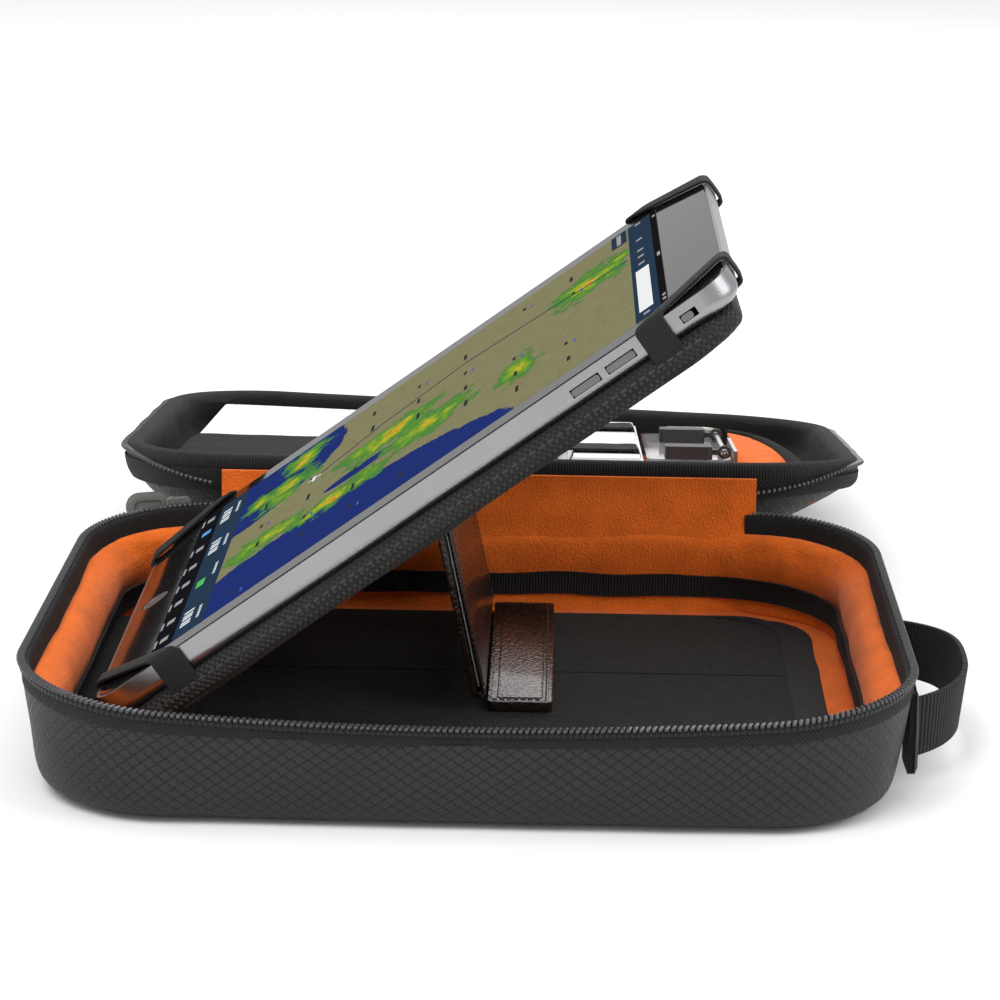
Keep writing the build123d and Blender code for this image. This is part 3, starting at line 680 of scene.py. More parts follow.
# %% Screen material
screen, tree, shader = paint("screen", (0.004, 0.004, 0.005), 0.3, Specular_IOR_Level=0.0)
flat = node(tree, "ShaderNodeVectorMath", operation="SCALE",
            inputs={0: position(tree, "UV"), "Scale": 1000.0}).outputs[0]
rough_edge = node(tree, "ShaderNodeTexNoise",
                  inputs={"Vector": flat, "Scale": 0.11, "Detail": 8.0, "Roughness": 0.72})
coarse = maths(tree, "SUBTRACT", rough_edge.outputs["Fac"], 0.5)


def fields(places, jitter, height=1.0):
    """The greatest of several blobs, with a ragged edge."""
    best = None
    for x, y, rx, ry in places:
        field = use(tree, blob, Vector=flat, Middle=(x, y, 0), Reach=(rx, ry, 1000))["Field"]
        best = field if best is None else maths(tree, "MAXIMUM", best, field)
    return maths(tree, "MULTIPLY_ADD", coarse, jitter, maths(tree, "MULTIPLY", best, height))


def layer(below, color, mask):
    """Lay a colour over what is there, where the mask is 1."""
    mix = node(tree, "ShaderNodeMix", data_type="RGBA", inputs={"Factor": mask, 6: below})
    if isinstance(color, bpy.types.NodeSocket):
        tree.links.new(color, mix.inputs[7])
    else:
        mix.inputs[7].default_value = (*color, 1)
    return mix.outputs[2]


hills = node(tree, "ShaderNodeTexNoise", inputs={"Vector": flat, "Scale": 0.25, "Detail": 5.0})
land = node(tree, "ShaderNodeMix", data_type="RGBA", inputs={"Factor": hills.outputs["Fac"],
            6: (0.20, 0.19, 0.095, 1), 7: (0.285, 0.27, 0.14, 1)}).outputs[2]
roads = node(tree, "ShaderNodeTexVoronoi", feature="DISTANCE_TO_EDGE", inputs={"Vector": flat, "Scale": 0.045})
on_road = maths(tree, "LESS_THAN", roads.outputs[0], 0.008)
picture = layer(land, (0.27, 0.13, 0.07), maths(tree, "MULTIPLY", on_road, 0.4))
water = fields(((75, -100, 92, 66), (40, 62, 46, 48), (98, -13, 15, 5)), 0.16)
picture = layer(picture, (0.012, 0.028, 0.17), maths(tree, "GREATER_THAN", water, 0.0))
storms = ((68, 66, 13, 20), (62, 36, 17, 22), (50, 40, 8, 12), (108, 8, 27, 20), (126, -16, 24, 19),
          (60, -22, 22, 13), (90, -31, 28, 13), (163, -27, 11, 21), (192, 32, 20, 24), (203, 40, 8, 8))
echo = fields(storms, 2.1, 0.74)
WEAKEST = 0.16    # the faintest echo that is drawn
strength = node(tree, "ShaderNodeValToRGB", inputs={"Fac": echo})
strength.color_ramp.interpolation = "LINEAR"
for spot, color in ((WEAKEST, (0.06, 0.20, 0.045)), (0.40, (0.09, 0.30, 0.03)), (0.58, (0.28, 0.40, 0.02)),
                    (0.74, (0.70, 0.52, 0.02)), (0.84, (0.75, 0.20, 0.015)), (0.92, (0.55, 0.02, 0.01))):
    stop = strength.color_ramp.elements.new(spot)
    stop.color = (*color, 1)
raining = maths(tree, "GREATER_THAN", echo, WEAKEST)
picture = layer(picture, strength.outputs["Color"], maths(tree, "MULTIPLY", raining, 0.93))

tree.links.new(picture, shader.inputs["Emission Color"])
shader.inputs["Emission Strength"].default_value = 0.95
print("screen nodes:", len(tree.nodes))

# %% Front glass
glass_black, tree, shader = paint("glass_black", (0.006, 0.006, 0.007), 0.06, Specular_IOR_Level=0.10)
smears = node(tree, "ShaderNodeTexNoise", inputs={"Vector": position(tree), "Scale": 40.0, "Detail": 4.0})
tree.links.new(maths(tree, "MULTIPLY_ADD", smears.outputs["Fac"], 0.10, 0.02), shader.inputs["Roughness"])
shade = use(tree, patchy, Vector=position(tree), Size=0.03, Amount=0.3)["Shade"]
tint(tree, shader, (0.006, 0.006, 0.007), shade)

# %% [markdown]
# ## The tray
# The outer fabric is one band round the wall that turns in under the base. The walls
# lean in a little towards the table, as soft ones do, and the base is filled in.

# %% Outer fabric of the tray
FULL = (0.0, ROUND)
OPEN = (HINGE, ROUND - HINGE)


def soften(amount, size, seed):
    """Waves that push a wall in and out and its edge up and down."""
    def move(x, y, z):
        push = amount * wave(x, y, z * 1.6, size, seed)
        length = math.hypot(x, y) or 1
        ripple = 0.4 * amount * wave(x, y, z, size, seed + 9) * min(z / 20, 1)
        return x + push * x / length, y + push * y / length, z + ripple
    return move


tray_profile = [(44, 0.0), (30, 0.0), (16, 0.1), (9.5, 1.1), (5.9, 3.6), (4.2, 7.5), (3.1, 13), (2.2, 19),
                (1.4, 25), (0.7, 31), (0.2, 36.6)]
tray_cover = rim_band("tray_cover", FULL, tray_profile, 5.0, closed=True)
modify(tray_cover, "SUBSURF", levels=1, render_levels=1)
fill_base(tray_cover)
modify(tray_cover, "SOLIDIFY", thickness=1.0 * MM, offset=-1)
shape(tray_cover, soften(0.9, 32, 1))
shape(tray_cover, tray_settles)
place(tray_cover, ripstop, "tray", "ripstop", ("tray_shell", "tray_foam", "tray_base_board"))

# %% [markdown]
# The zipper's tape is a black twill that covers the rim and runs down inside it. The
# coil of teeth is one small loop, repeated along a flat strip that is bent round the rim.

# %% Zipper tape
tape_profile = [(0.2, 35.6), (-0.1, 38.0), (0.0, 40.6), (0.5, 42.2), (1.6, 42.9), (2.6, 42.0), (3.0, 39.4),
                (3.2, 36.4), (3.6, 34.6)]


def zipper_tape(name, span, profile, settle):
    tape = rim_band(name, span, profile, 3.0)
    thicken(tape, 0.5, -1)
    shape(tape, soften(0.35, 18, 4))
    return shape(tape, settle)


tray_tape = zipper_tape("tray_tape", (HINGE + 4, ROUND - HINGE - 4), tape_profile, tray_settles)
place(tray_tape, zip_tape, "tray", "zip_tape", ("tray_zip_tape",))


# %% Zipper teeth
def coil(name, span, height, depth, settle, drop=lambda s: 0.0):
    """One loop of the coil, arrayed straight, then bent round the rim."""
    pitch = 1.95
    loop = rod(name, (span[0], depth, height), 0.74, 3.1, "Y", 8)
    pick(loop, "EDGE", lambda p, e: abs(p.y - depth) > 1.4)
    bpy.ops.mesh.bevel(offset=0.45 * MM, segments=1)
    leave()
    shape(loop, lambda x, y, z: (x + 0.28 * (y - depth), y, z - 0.10 * (y - depth) ** 2))
    modify(loop, "ARRAY", count=int((span[1] - span[0]) / pitch), use_relative_offset=False,
           use_constant_offset=True, constant_offset_displace=(pitch * MM, 0, 0))
    shape(loop, lambda s, q, h: (*round_rim(s, q), h - drop(s)))
    return shape(loop, settle)


tray_teeth = coil("tray_teeth", (HINGE + 5, ROUND - HINGE - 5), 43.0, 0.1, tray_settles)
place(tray_teeth, zip_coil, "tray", "zip_coil", ("tray_zip_teeth",))
chain_profile = [(-0.35, 40.0), (-0.85, 40.6), (-0.9, 41.5), (-0.4, 42.3)]
tray_chain = rim_band("tray_chain", OPEN, chain_profile, 3.0)
thicken(tray_chain, 0.4, -1)
shape(tray_chain, tray_settles)
place(tray_chain, zip_chain, "tray", "zip_coil")

# %% [markdown]
# The padded lining is a soft roll of fleece over foam. It is modelled thin and then
# inflated by a short cloth simulation, which gives the crowned swell and the small
# creases of sewn padding. Gravity is off, and how far a point may move is limited.


# %% Inflating padding
def inflate(obj, voxel, pressure, most, frames=16):
    """Remesh a closed shape and swell it with cloth pressure, then apply the result."""
    only(obj)
    obj.data.remesh_voxel_size = voxel * MM
    bpy.ops.object.voxel_remesh()
    before = [v.co.copy() for v in obj.data.vertices]
    cloth = obj.modifiers.new("Cloth", "CLOTH")
    cloth.settings.use_pressure = True
    cloth.settings.uniform_pressure_force = pressure
    cloth.settings.effector_weights.gravity = 0
    cloth.settings.quality = 4
    cloth.point_cache.frame_start, cloth.point_cache.frame_end = 1, frames
    for frame_number in range(1, frames + 1):
        scene.frame_set(frame_number)
    bpy.ops.object.modifier_apply(modifier=cloth.name)
    for v, start in zip(obj.data.vertices, before):
        step = v.co - start
        if step.length > most * MM:
            v.co = start + step * (most * MM / step.length)
    scene.frame_set(1)
    print(obj.name, "inflated:", len(before), "points")
    return obj


def weld(obj):
    """Close the seams of a strip that has been rolled up."""
    pick(obj, "VERT", lambda p, v: True)
    bpy.ops.mesh.remove_doubles(threshold=0.00005)
    bpy.ops.mesh.normals_make_consistent(inside=False)
    leave()


# %% Tray lining
lining_profile = [(8.0, 12), (5.0, 21), (3.2, 31), (2.6, 34), (3.4, 36.6), (5.6, 36.4), (9.0, 33.6),
                  (11.8, 29), (12.6, 24.5), (11.8, 20.8), (10.6, 18.6), (10.6, 14.4), (11.6, 11.2),
                  (12.4, 9.4), (12.0, 7.6), (10.6, 7.5), (9.6, 9), (8.0, 12)]
tray_lining = rim_band("tray_lining", FULL, lining_profile, 5.0, closed=True)


def flatter_behind(x, y, z):
    """Behind the hinge there is no roll, only the flat back wall."""
    back = ramp(y, SIDE_Y + 5, SIDE_Y + 30) * (1 - ramp(abs(x), HINGE - 10, HINGE + 20))
    wall = HALF_W / MM - 3.0
    return x, y + (wall - y) * 0.62 * back if y < wall else y, z


shape(tray_lining, flatter_behind)
weld(tray_lining)
inflate(tray_lining, 2.6, 2.5, 1.1)
modify(tray_lining, "SUBSURF", levels=1, render_levels=1)
shape(tray_lining, soften(1.0, 24, 7))
shape(tray_lining, tray_settles)
place(tray_lining, orange_fleece, "tray", "orange_fleece", ("tray_wall_lining",), angle=80)

# %% Tray floor
floor_profile = [(46, 7.1), (38, 7.1), (26, 7.1), (14, 7.2), (9.5, 7.3), (7.7, 8.8), (6.0, 13.4)]
tray_floor = rim_band("tray_floor", FULL, floor_profile, 8.0, closed=True)
fill_base(tray_floor)
modify(tray_floor, "SOLIDIFY", thickness=1.2 * MM, offset=-1)
place(tray_floor, orange_fleece, "tray", "orange_fleece", ("tray_floor_lining",))

# %% [markdown]
# A woven band is sewn round the foot of the lining. It is laid as a strip that follows
# the pinched line between the two swells, with the small waves that sewing leaves.

# %% Woven band
band_profile = [(12.0, 21.2), (11.6, 19.6), (11.3, 17.2), (11.4, 14.8), (12.0, 13.2)]
wall_band = rim_band("wall_band", FULL, band_profile, 4.0, closed=True)
shape(wall_band, flatter_behind)
thicken(wall_band, 0.9, 1)
shape(wall_band, lambda x, y, z: (x * (1 - 0.0085), y * (1 - 0.0085), z + 0.7 * wave(x, y, z, 20, 3)))
shape(wall_band, soften(0.8, 24, 7))
shape(wall_band, tray_settles)
place(wall_band, woven_binding, "tray", "woven_binding", ("tray_wall_band",))

# %% [markdown]
# The floor panel is a sheet of loop pile, with a seam sewn across it and a woven binding
# folded over its right end. The panel lies flat on the floor, and the binding has a slight wave.


# %% Loop panel
def plate(name, x0, x1, y0, y1, z0, z1, corner, edge):
    """A flat slab with rounded corners and softened edges."""
    slab = solid(name, (x0, y0, z0), (x1, y1, z1))
    pick(slab, "EDGE", lambda p, e: abs(p.z - (z0 + z1) / 2) < 0.01)
    bpy.ops.mesh.bevel(offset=corner * MM, segments=8)
    leave()
    pick(slab, "EDGE", lambda p, e: abs(p.z - z1) < 0.01 or abs(p.z - z0) < 0.01)
    bpy.ops.mesh.bevel(offset=edge * MM, segments=3)
    leave()
    return slab


low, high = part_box("floor_loop_panel")
x0, y0, x1, y1 = low.x / MM, low.y / MM, high.x / MM, high.y / MM
seam_y = 27.4
panel_sheet = plate("loop_panel", x0, x1 + 2, y0, y1, 7.3, 8.5, 18, 0.4)
seam = rod("seam", ((x0 + x1) / 2, seam_y, 8.35), 0.45, x1 - x0 - 1, "X", 8)
loop_panel = joined("loop_panel", [panel_sheet, seam])
place(loop_panel, loop_pile, "tray", "loop_pile", ("floor_loop_panel",))

low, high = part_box("floor_panel_binding")
bpy.ops.object.select_all(action="DESELECT")
bpy.ops.mesh.primitive_grid_add(x_subdivisions=6, y_subdivisions=40, size=1)
panel_binding = bpy.context.object
panel_binding.name = "panel_binding"
b1, c0, c1 = high.x / MM, low.y / MM, high.y / MM
for corner in panel_binding.data.uv_layers.active.data:
    corner.uv = (corner.uv[1] * (c1 - c0) * MM, corner.uv[0] * 0.012)


def bind(x, y, z):
    """A strip that follows the panel's end and curls in at its corners."""
    yy = c0 + (y + 0.5) * (c1 - c0)
    end = max(abs(yy - (c0 + c1) / 2) - (c1 - c0) / 2 + 24, 0)
    pull = 24 - math.sqrt(max(24 * 24 - end * end, 0))
    xx = b1 - pull * 0.92 - (0.5 - x) * 11.5
    return xx, yy, 8.75 + 0.55 * math.cos(x * math.pi)


for v in panel_binding.data.vertices:
    v.co = Vector(bind(v.co.x, v.co.y, 0)) * MM
modify(panel_binding, "SOLIDIFY", thickness=1.0 * MM, offset=-1)
shape(panel_binding, lambda x, y, z: (x + 0.5 * wave(x, y, z, 14, 2), y, z))
place(panel_binding, woven_binding, "tray", "woven_binding", ("floor_panel_binding",))

# %% [markdown]
# ## Hinge, handle and slider
# The lid hangs on one piece of fleece that runs up from the tray's back wall. It bends
# when the lid closes; here it is modelled only as it lies open.


# %% Flat cloth
def cloth(name, width, length, across, along, bend):
    """A grid cut to width by length, then bent by a function of its flat place."""
    bpy.ops.object.select_all(action="DESELECT")
    bpy.ops.mesh.primitive_grid_add(x_subdivisions=across, y_subdivisions=along, size=1)
    piece = bpy.context.object
    piece.name = name
    for corner in piece.data.uv_layers.active.data:
        corner.uv = (corner.uv[0] * width * MM, corner.uv[1] * length * MM)
    for v in piece.data.vertices:
        v.co = Vector(bend((v.co.x + 0.5) * width, (v.co.y + 0.5) * length)) * MM
    return piece


# %% Hinge gusset
gusset_low, gusset_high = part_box("hinge_gusset")
g_width, g_drop = (gusset_high.x - gusset_low.x) / MM + 11, 23.5
top_y, top_z = gusset_high.y / MM, 57.2


def gusset_bend(x, d):
    """From under the lid's rim down the tray's back wall, with a crease at each end."""
    side = x - g_width / 2
    crease = ramp(abs(side), g_width / 2 - 9, g_width / 2 - 3)
    y = top_y - 0.6 - 3.6 * ramp(d, 2, 20) - 2.4 * ramp(d, 16, 27)
    y += 0.4 * wave(x, d, 0, 34, 2) - 1.2 + 1.6 * crease * ramp(d, 3, 20)
    return side + 3.5, y, top_z - d


gusset = cloth("gusset", g_width, g_drop, 60, 14, gusset_bend)
modify(gusset, "SOLIDIFY", thickness=1.5 * MM, offset=0)
place(gusset, orange_fleece, None, "orange_fleece", ("hinge_gusset",), angle=80)
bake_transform(gusset)

# %% Board's fabric hinge
low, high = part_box("board_hinge_flap")
f_len = (high.y - low.y) / MM
flap = cloth("board_flap", 20.0, f_len, 8, 30, lambda x, y: (
    low.x / MM + 9.0 + x * 0.58, low.y / MM + y, 15.0 + 13.5 * ramp(x, 9, 20) + 0.6 * wave(x, y, 0, 22, 5)))
modify(flap, "SOLIDIFY", thickness=1.3 * MM, offset=0)
place(flap, black_fleece, "tray", "black_fleece", ("board_hinge_flap",))

# %% [markdown]
# The handle is a length of webbing, sewn to two ripstop tabs on the right wall. The tabs
# have bar tacks: rows of thread across them, each row made from one stitch and an array.


# %% Stitches
def stitches(name, start, end, pitch=2.4, length=1.7, radius=0.28):
    """One stitch, arrayed in a straight row between two points."""
    start, end = Vector(start), Vector(end)
    run = (end - start).length
    row = rod(name, (0, 0, 0), radius, length, "X", 6)
    pick(row, "EDGE", lambda p, e: abs(p.x) > length * 0.45)
    bpy.ops.mesh.bevel(offset=radius * 0.6 * MM, segments=1)
    leave()
    modify(row, "ARRAY", count=max(int(run / pitch), 1), use_relative_offset=False,
           use_constant_offset=True, constant_offset_displace=(pitch * MM, 0, 0))
    turn = (end - start).to_track_quat("X", "Z").to_matrix().to_4x4()
    row.data.transform(Matrix.Translation(start * MM) @ turn)
    return row


# %% Handle
low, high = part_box("handle_webbing")
y_low, y_high, out_x = low.y / MM, high.y / MM, high.x / MM
mid_y, half_y = (y_low + y_high) / 2, (y_high - y_low) / 2
h_len, h_mid = 112.0, 22.0


def handle_bend(s, w):
    """Out from one tab, round the hand's gap and back, drooping a little with its weight."""
    t = s / h_len * 2 - 1
    bulge = (1 - abs(t) ** 2.6)
    x = out_x - 21.8 + 21.4 * bulge + 1.2 * (1 - t * t) * (w / 20 - 0.5) * 2
    y = mid_y + half_y * math.copysign(abs(t) ** 0.86, t) * (0.94 + 0.06 * bulge)
    z = h_mid - 10 + w + 2.0 * (1 - t * t) * (0.5 - abs(t)) - 2.0 * (1 - bulge)
    return x, y, z


handle_web = cloth("handle_web", h_len, 20.0, 60, 8, handle_bend)
modify(handle_web, "SOLIDIFY", thickness=1.9 * MM, offset=0)
modify(handle_web, "BEVEL", width=0.4 * MM, segments=2, limit_method="ANGLE")
place(handle_web, webbing, None, "webbing", ("handle_webbing",))
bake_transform(handle_web)

for which in ("front", "back"):
    low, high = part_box("handle_tab_" + which)
    y0, y1, z0, z1, x0 = low.y / MM, high.y / MM, low.z / MM, high.z / MM, low.x / MM
    tab = solid("tab_" + which, (x0 - 0.2, y0, z0), (x0 + 2.2, y1, z1))
    pick(tab, "EDGE", lambda p, e: p.x > x0 + 2)
    bpy.ops.mesh.bevel(offset=0.8 * MM, segments=3)
    leave()
    pick(tab, "FACE", lambda p, f: f.normal.x > 0.9)
    bpy.ops.mesh.inset(thickness=1.6 * MM, depth=0)
    bpy.ops.mesh.inset(thickness=0.5 * MM, depth=-0.35 * MM)
    leave()
    modify(tab, "SUBSURF", levels=1, render_levels=1, subdivision_type="SIMPLE")
    shape(tab, lambda x, y, z: (x + 0.5 * wave(x, y, z, 9, 3), y, z + 0.4 * wave(x, y, z, 14, 5)))
    place(tab, ripstop, "tray", "ripstop", ("handle_tab_" + which,))
    rows = [stitches("tack", (x0 + 2.3, y0 + 2.5, z), (x0 + 2.3, y1 - 2.5, z), 1.5, 1.1)
            for z in (z0 + 3, h_mid, z1 - 3)]
    place(joined("tab_tacks_" + which, rows), thread, "tray", "webbing")

# %% [markdown]
# The slider is a small casting that straddles the coil, with a grey pull that hangs from
# its bridge. The slider keeps its CAD shape, and the pull is modelled anew.

# %% Slider
for name in ("zip_slider", "zip_pull"):
    finish_as(name, zip_metal)
grip = plate("pull_grip", -3.2, 9.8, -3.6, 3.6, -1.0, 1.0, 3.2, 0.6)
pick(grip, "FACE", lambda p, f: abs(f.normal.z) > 0.9)
bpy.ops.mesh.inset(thickness=1.0 * MM, depth=0)
bpy.ops.mesh.inset(thickness=0.5 * MM, depth=-0.3 * MM)
leave()
pull_low, pull_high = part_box("zip_pull")
upright = Matrix.Rotation(math.radians(200), 4, "Z") @ Matrix.Rotation(math.radians(90), 4, "X")
pull_at = Matrix.Translation((pull_low + pull_high) / 2) @ upright
place(grip, zip_metal, "zip_pull", "zip_metal", ("zip_pull",), frame_of=pull_at)

# %% [markdown]
# ## The lid
# The lid is made like the tray, but shallower. Its shell curves in under it like a boat's
# hull. Its rim is a ribbed roll, and the coil runs below the roll near the hinge.

# %% Lid's outer fabric
lid_profile = [(46, -29.2), (40, -29.1), (34, -28.8), (24, -27.2), (16, -24.2), (10, -20), (6, -15.4),
               (3.2, -11), (1.4, -7), (0.4, -3.4)]
lid_cover = rim_band("lid_cover", FULL, lid_profile, 5.0, closed=True)
modify(lid_cover, "SUBSURF", levels=1, render_levels=1)
fill_base(lid_cover)
modify(lid_cover, "SOLIDIFY", thickness=1.0 * MM, offset=-1)
turn_half(lid_cover)
shape(lid_cover, soften(1.0, 30, 21))
shape(lid_cover, lid_settles)
place(lid_cover, ripstop, "lid", "ripstop", ("lid_shell", "lid_stiffener", "lid_foam"), frame_of=LID_MIDDLE)


# %% Lid's rim roll and tape
def drop(s):
    """How far the coil falls below the roll near the hinge."""
    s = min(s % ROUND, ROUND - s % ROUND)
    return 9.5 * (1 - ramp(s, HINGE - 4, HINGE + 62))


roll_profile = [(0.6, -6.4), (-0.3, -4.4), (-0.4, -2.2), (0.6, -0.5), (2.6, 0.3), (5.4, 0.1), (7.6, -1.4),
                (8.2, -4.0)]
lid_roll = rim_band("lid_roll", FULL, roll_profile, 4.0, closed=True)
thicken(lid_roll, 0.8, -1)
turn_half(lid_roll)
shape(lid_roll, soften(0.6, 22, 23))
shape(lid_roll, lid_settles)
place(lid_roll, woven_binding, "lid", "woven_binding", ("lid_front_roll",), frame_of=LID_MIDDLE)

lid_tape_profile = [(2.6, -13.5), (1.0, -11.0), (0.3, -8.0), (0.0, -5.4)]
lid_tape = rim_band("lid_tape", (HINGE + 4, ROUND - HINGE - 4), lid_tape_profile, 3.0)
thicken(lid_tape, 0.5, 1)
turn_half(lid_tape)
shape(lid_tape, soften(1.0, 30, 21))
shape(lid_tape, lid_settles)
place(lid_tape, zip_tape, "lid", "zip_tape", ("lid_zip_tape",), frame_of=LID_MIDDLE)
lid_teeth = coil("lid_teeth", (HINGE + 8, ROUND - HINGE - 8), -1.9, -0.7, lambda x, y, z: (x, y, z), drop)
turn_half(lid_teeth)
shape(lid_teeth, soften(0.6, 22, 23))
shape(lid_teeth, lid_settles)
place(lid_teeth, zip_coil, "lid", "zip_coil", ("lid_zip_teeth",), frame_of=LID_MIDDLE)

# %% Lid's padded wall and floor
wall_profile = [(4.0, -6), (4.4, -1.6), (6.4, -1.0), (8.6, -3.2), (9.2, -8), (9.4, -13), (11.0, -17),
                (13.0, -19), (15.0, -19.6), (16, -18.4), (11.0, -13.6), (6.6, -9.4), (4.0, -6)]
lid_lining = rim_band("lid_lining", FULL, wall_profile, 5.0, closed=True)
weld(lid_lining)
inflate(lid_lining, 2.6, 2.0, 0.7)
modify(lid_lining, "SUBSURF", levels=1, render_levels=1)
turn_half(lid_lining)
shape(lid_lining, soften(1.0, 22, 31))
shape(lid_lining, lid_settles)
place(lid_lining, black_fleece, "lid", "black_fleece", ("lid_wall_lining",), frame_of=LID_MIDDLE, angle=80)
lid_floor_profile = [(46, -22.6), (30, -22.4), (21, -21.4), (15.5, -19.8)]
lid_floor = rim_band("lid_floor", FULL, lid_floor_profile, 8.0, closed=True)
fill_base(lid_floor)
modify(lid_floor, "SOLIDIFY", thickness=1.0 * MM, offset=-1)
turn_half(lid_floor)
shape(lid_floor, lid_settles)
place(lid_floor, orange_fleece, "lid", "orange_fleece", ("lid_floor_lining",), frame_of=LID_MIDDLE)

# %% [markdown]
# ## What the lid carries
# On the left a ruled pad sits in a black pocket. Its sheets are a soft stack: each edge
# is a little out of line, so it reads as paper and not as a block.

# %% Notepad
n_low, n_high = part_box("notepad_pages")
px0, px1 = n_low.x / MM, n_high.x / MM
sheets = []
for i in range(7):
    page = cloth("page", px1 - px0 - 0.6 * (i % 3), 182.0 - 0.8 * (i % 2), 10, 16, lambda x, v, i=i: (
        px0 + 0.3 * (i % 3) + x, 25 + v + 0.3 * (i % 2),
        -9.4 + 0.82 * i + (v / 224) * twist(px0 + x) + 0.25 * wave(x, v, i, 60, 3)))
    modify(page, "SOLIDIFY", thickness=0.55 * MM, offset=0)
    sheets.append(page)
notepad = joined("notepad", sheets)
place(notepad, ruled_paper, "notepad", "ruled_paper", ("notepad_pages",), frame_of=LID)

# %% Left pocket and its pad
pocket_x0, pocket_x1 = px0 - 6, px1 + 6
pocket = cloth("left_pocket", pocket_x1 - pocket_x0, 70.0, 30, 18, lambda x, v: (
    pocket_x0 + x, 20 + v,
    -2.9 + 0.7 * ((v + 20) / 224) * twist(pocket_x0 + x) + 0.35 * wave(x, v, 0, 18, 8)
    - 12 * (1 - ramp(x, 0, 5)) - 12 * ramp(x, pocket_x1 - pocket_x0 - 5, pocket_x1 - pocket_x0)))
modify(pocket, "SOLIDIFY", thickness=0.9 * MM, offset=0)
place(pocket, black_fleece, "lid", "black_fleece", ("lid_pocket_left",), frame_of=LID)
pad = plate("pocket_pad", px0 + 4, px1 - 1, 30, 196, -20.4, -11.2, 8, 3)
modify(pad, "SUBSURF", levels=1, render_levels=1)
inflate(pad, 4.0, 2.0, 1.2)
shape(pad, lambda x, v, n: (x, v, n + v / 224 * twist(x)))
place(pad, black_fleece, "lid", "black_fleece", ("pocket_left_pad",), frame_of=LID, angle=80)

# %% [markdown]
# Two loops of ribbed elastic hold pens and a stack of white checklist cards. The elastic
# is a strip that rises over them and is tucked down at each side.

# %% Elastic loops
for which, v0, v1 in (("front", 66.0, 88.0), ("back", 158.0, 180.0)):
    low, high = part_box("elastic_loop_" + which)
    ex0, ex1 = low.x / MM, high.x / MM
    width = ex1 - ex0

    def over(s, w):
        edge = min(s, width - s)
        fall = (1 - ramp(edge, -2.5, 3.2)) * 17
        return ex0 + s, v0 + w, -2.1 - fall + 0.25 * wave(s, w, 0, 8, 4)

    loop = cloth("loop_" + which, width, v1 - v0, 60, 8, over)
    modify(loop, "SOLIDIFY", thickness=0.9 * MM, offset=0)
    place(loop, elastic, "lid", "elastic", ("elastic_loop_" + which,), frame_of=LID)

# %% Checklist cards
d_low, d_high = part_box("checklist_deck")
cx0, cx1 = d_low.x / MM, d_high.x / MM
stack = []
for i in range(5):
    sheet_card = plate("card", cx0 + 30 + 0.5 * i, cx1 + 1.5 - 1.3 * (i % 3), 44 + 1.5 * i, 206 - 1.0 * (i % 3),
                       -10.6 + 1.5 * i, -9.6 + 1.5 * i, 2.5, 0.15)
    stack.append(sheet_card)
stack.append(plate("card", cx0 + 1, cx1, 42, 207, -22.2, -12.0, 3, 0.3))
cards = joined("cards", stack)
place(cards, card, "lid", "paper", ("checklist_deck",), frame_of=LID)

# %% [markdown]
# The right pocket is an orange leaf with a thick black binding that curves round its
# mouth, from the back of the cup forward to the hinge side.

# %% Right pocket
rx0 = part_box("lid_pocket_right")[0].x / MM


def mouth(x):
    """How far back the pocket's mouth is at each place across."""
    t = min(max((x - rx0) / 24.0, 0), 1)
    return 196 * math.sqrt(max(1 - t ** 3.0, 0)) + 40 * (1 - math.sqrt(max(1 - t ** 3.0, 0)))


def leaf_bend(x, k):
    """The leaf rises from the lid's floor to its mouth, less so at its right end."""
    rise = 9.5 * ramp(k, 0, 0.9) * (1 - 0.35 * x / 24)
    return rx0 + x, 24 + k * (mouth(rx0 + x) - 24), -16.5 + rise + 0.4 * wave(x, k * 60, 0, 14, 6)


leaf = cloth("right_pocket", 24.0, 1.0, 22, 30, leaf_bend)
modify(leaf, "SOLIDIFY", thickness=1.1 * MM, offset=0)
place(leaf, orange_fleece, "lid", "orange_fleece", ("lid_pocket_right",), frame_of=LID, angle=80)

binding = cloth("right_binding", 1.0, 1.0, 14, 60, lambda a, k: (a, k, 0))


def bound(a, k):
    """A flattened roll that follows the mouth of the pocket."""
    x = rx0 - 0.5 + 24.2 * math.sin(min(k, 1) * math.pi / 2) ** 0.8
    v = mouth(x)
    lean = math.atan2(1, 8) if x < rx0 + 12 else 1.1
    turn_by = a * 2 * math.pi
    across, high = 3.1 * math.cos(turn_by), 2.0 * math.sin(turn_by)
    n = -7.2 - 2.6 * (x - rx0) / 24
    return x + across * math.sin(lean), v + across * math.cos(lean), n + high


for v in binding.data.vertices:
    v.co = Vector(bound(v.co.x / MM, v.co.y / MM)) * MM
pick(binding, "VERT", lambda p, v: True)
bpy.ops.mesh.remove_doubles(threshold=0.00005)
leave()
place(binding, black_fleece, "lid", "woven_binding", ("pocket_right_binding",), frame_of=LID, angle=80)

# %% Hard pieces in the lid
for name, material, slot in (("pen_a", pen_body, "pen_body"), ("pen_b", pen_body, "pen_body"),
                             ("sampler_cup", clear_plastic, "clear_plastic"), ("sampler_valve", valve, "valve"),
                             ("key_shackle", silver, "silver"), ("spring_clip", silver, "silver"),
                             ("key_a", key_head, "key_head"), ("key_b", key_head, "key_head")):
    finish_as(name, material)

# %% [markdown]
# ## Board, tablet and straps
# The board is foam over a stiff core, covered in heavy woven nylon. It is modelled a
# little thin and inflated, so that its edges are rounded and its faces are barely crowned.

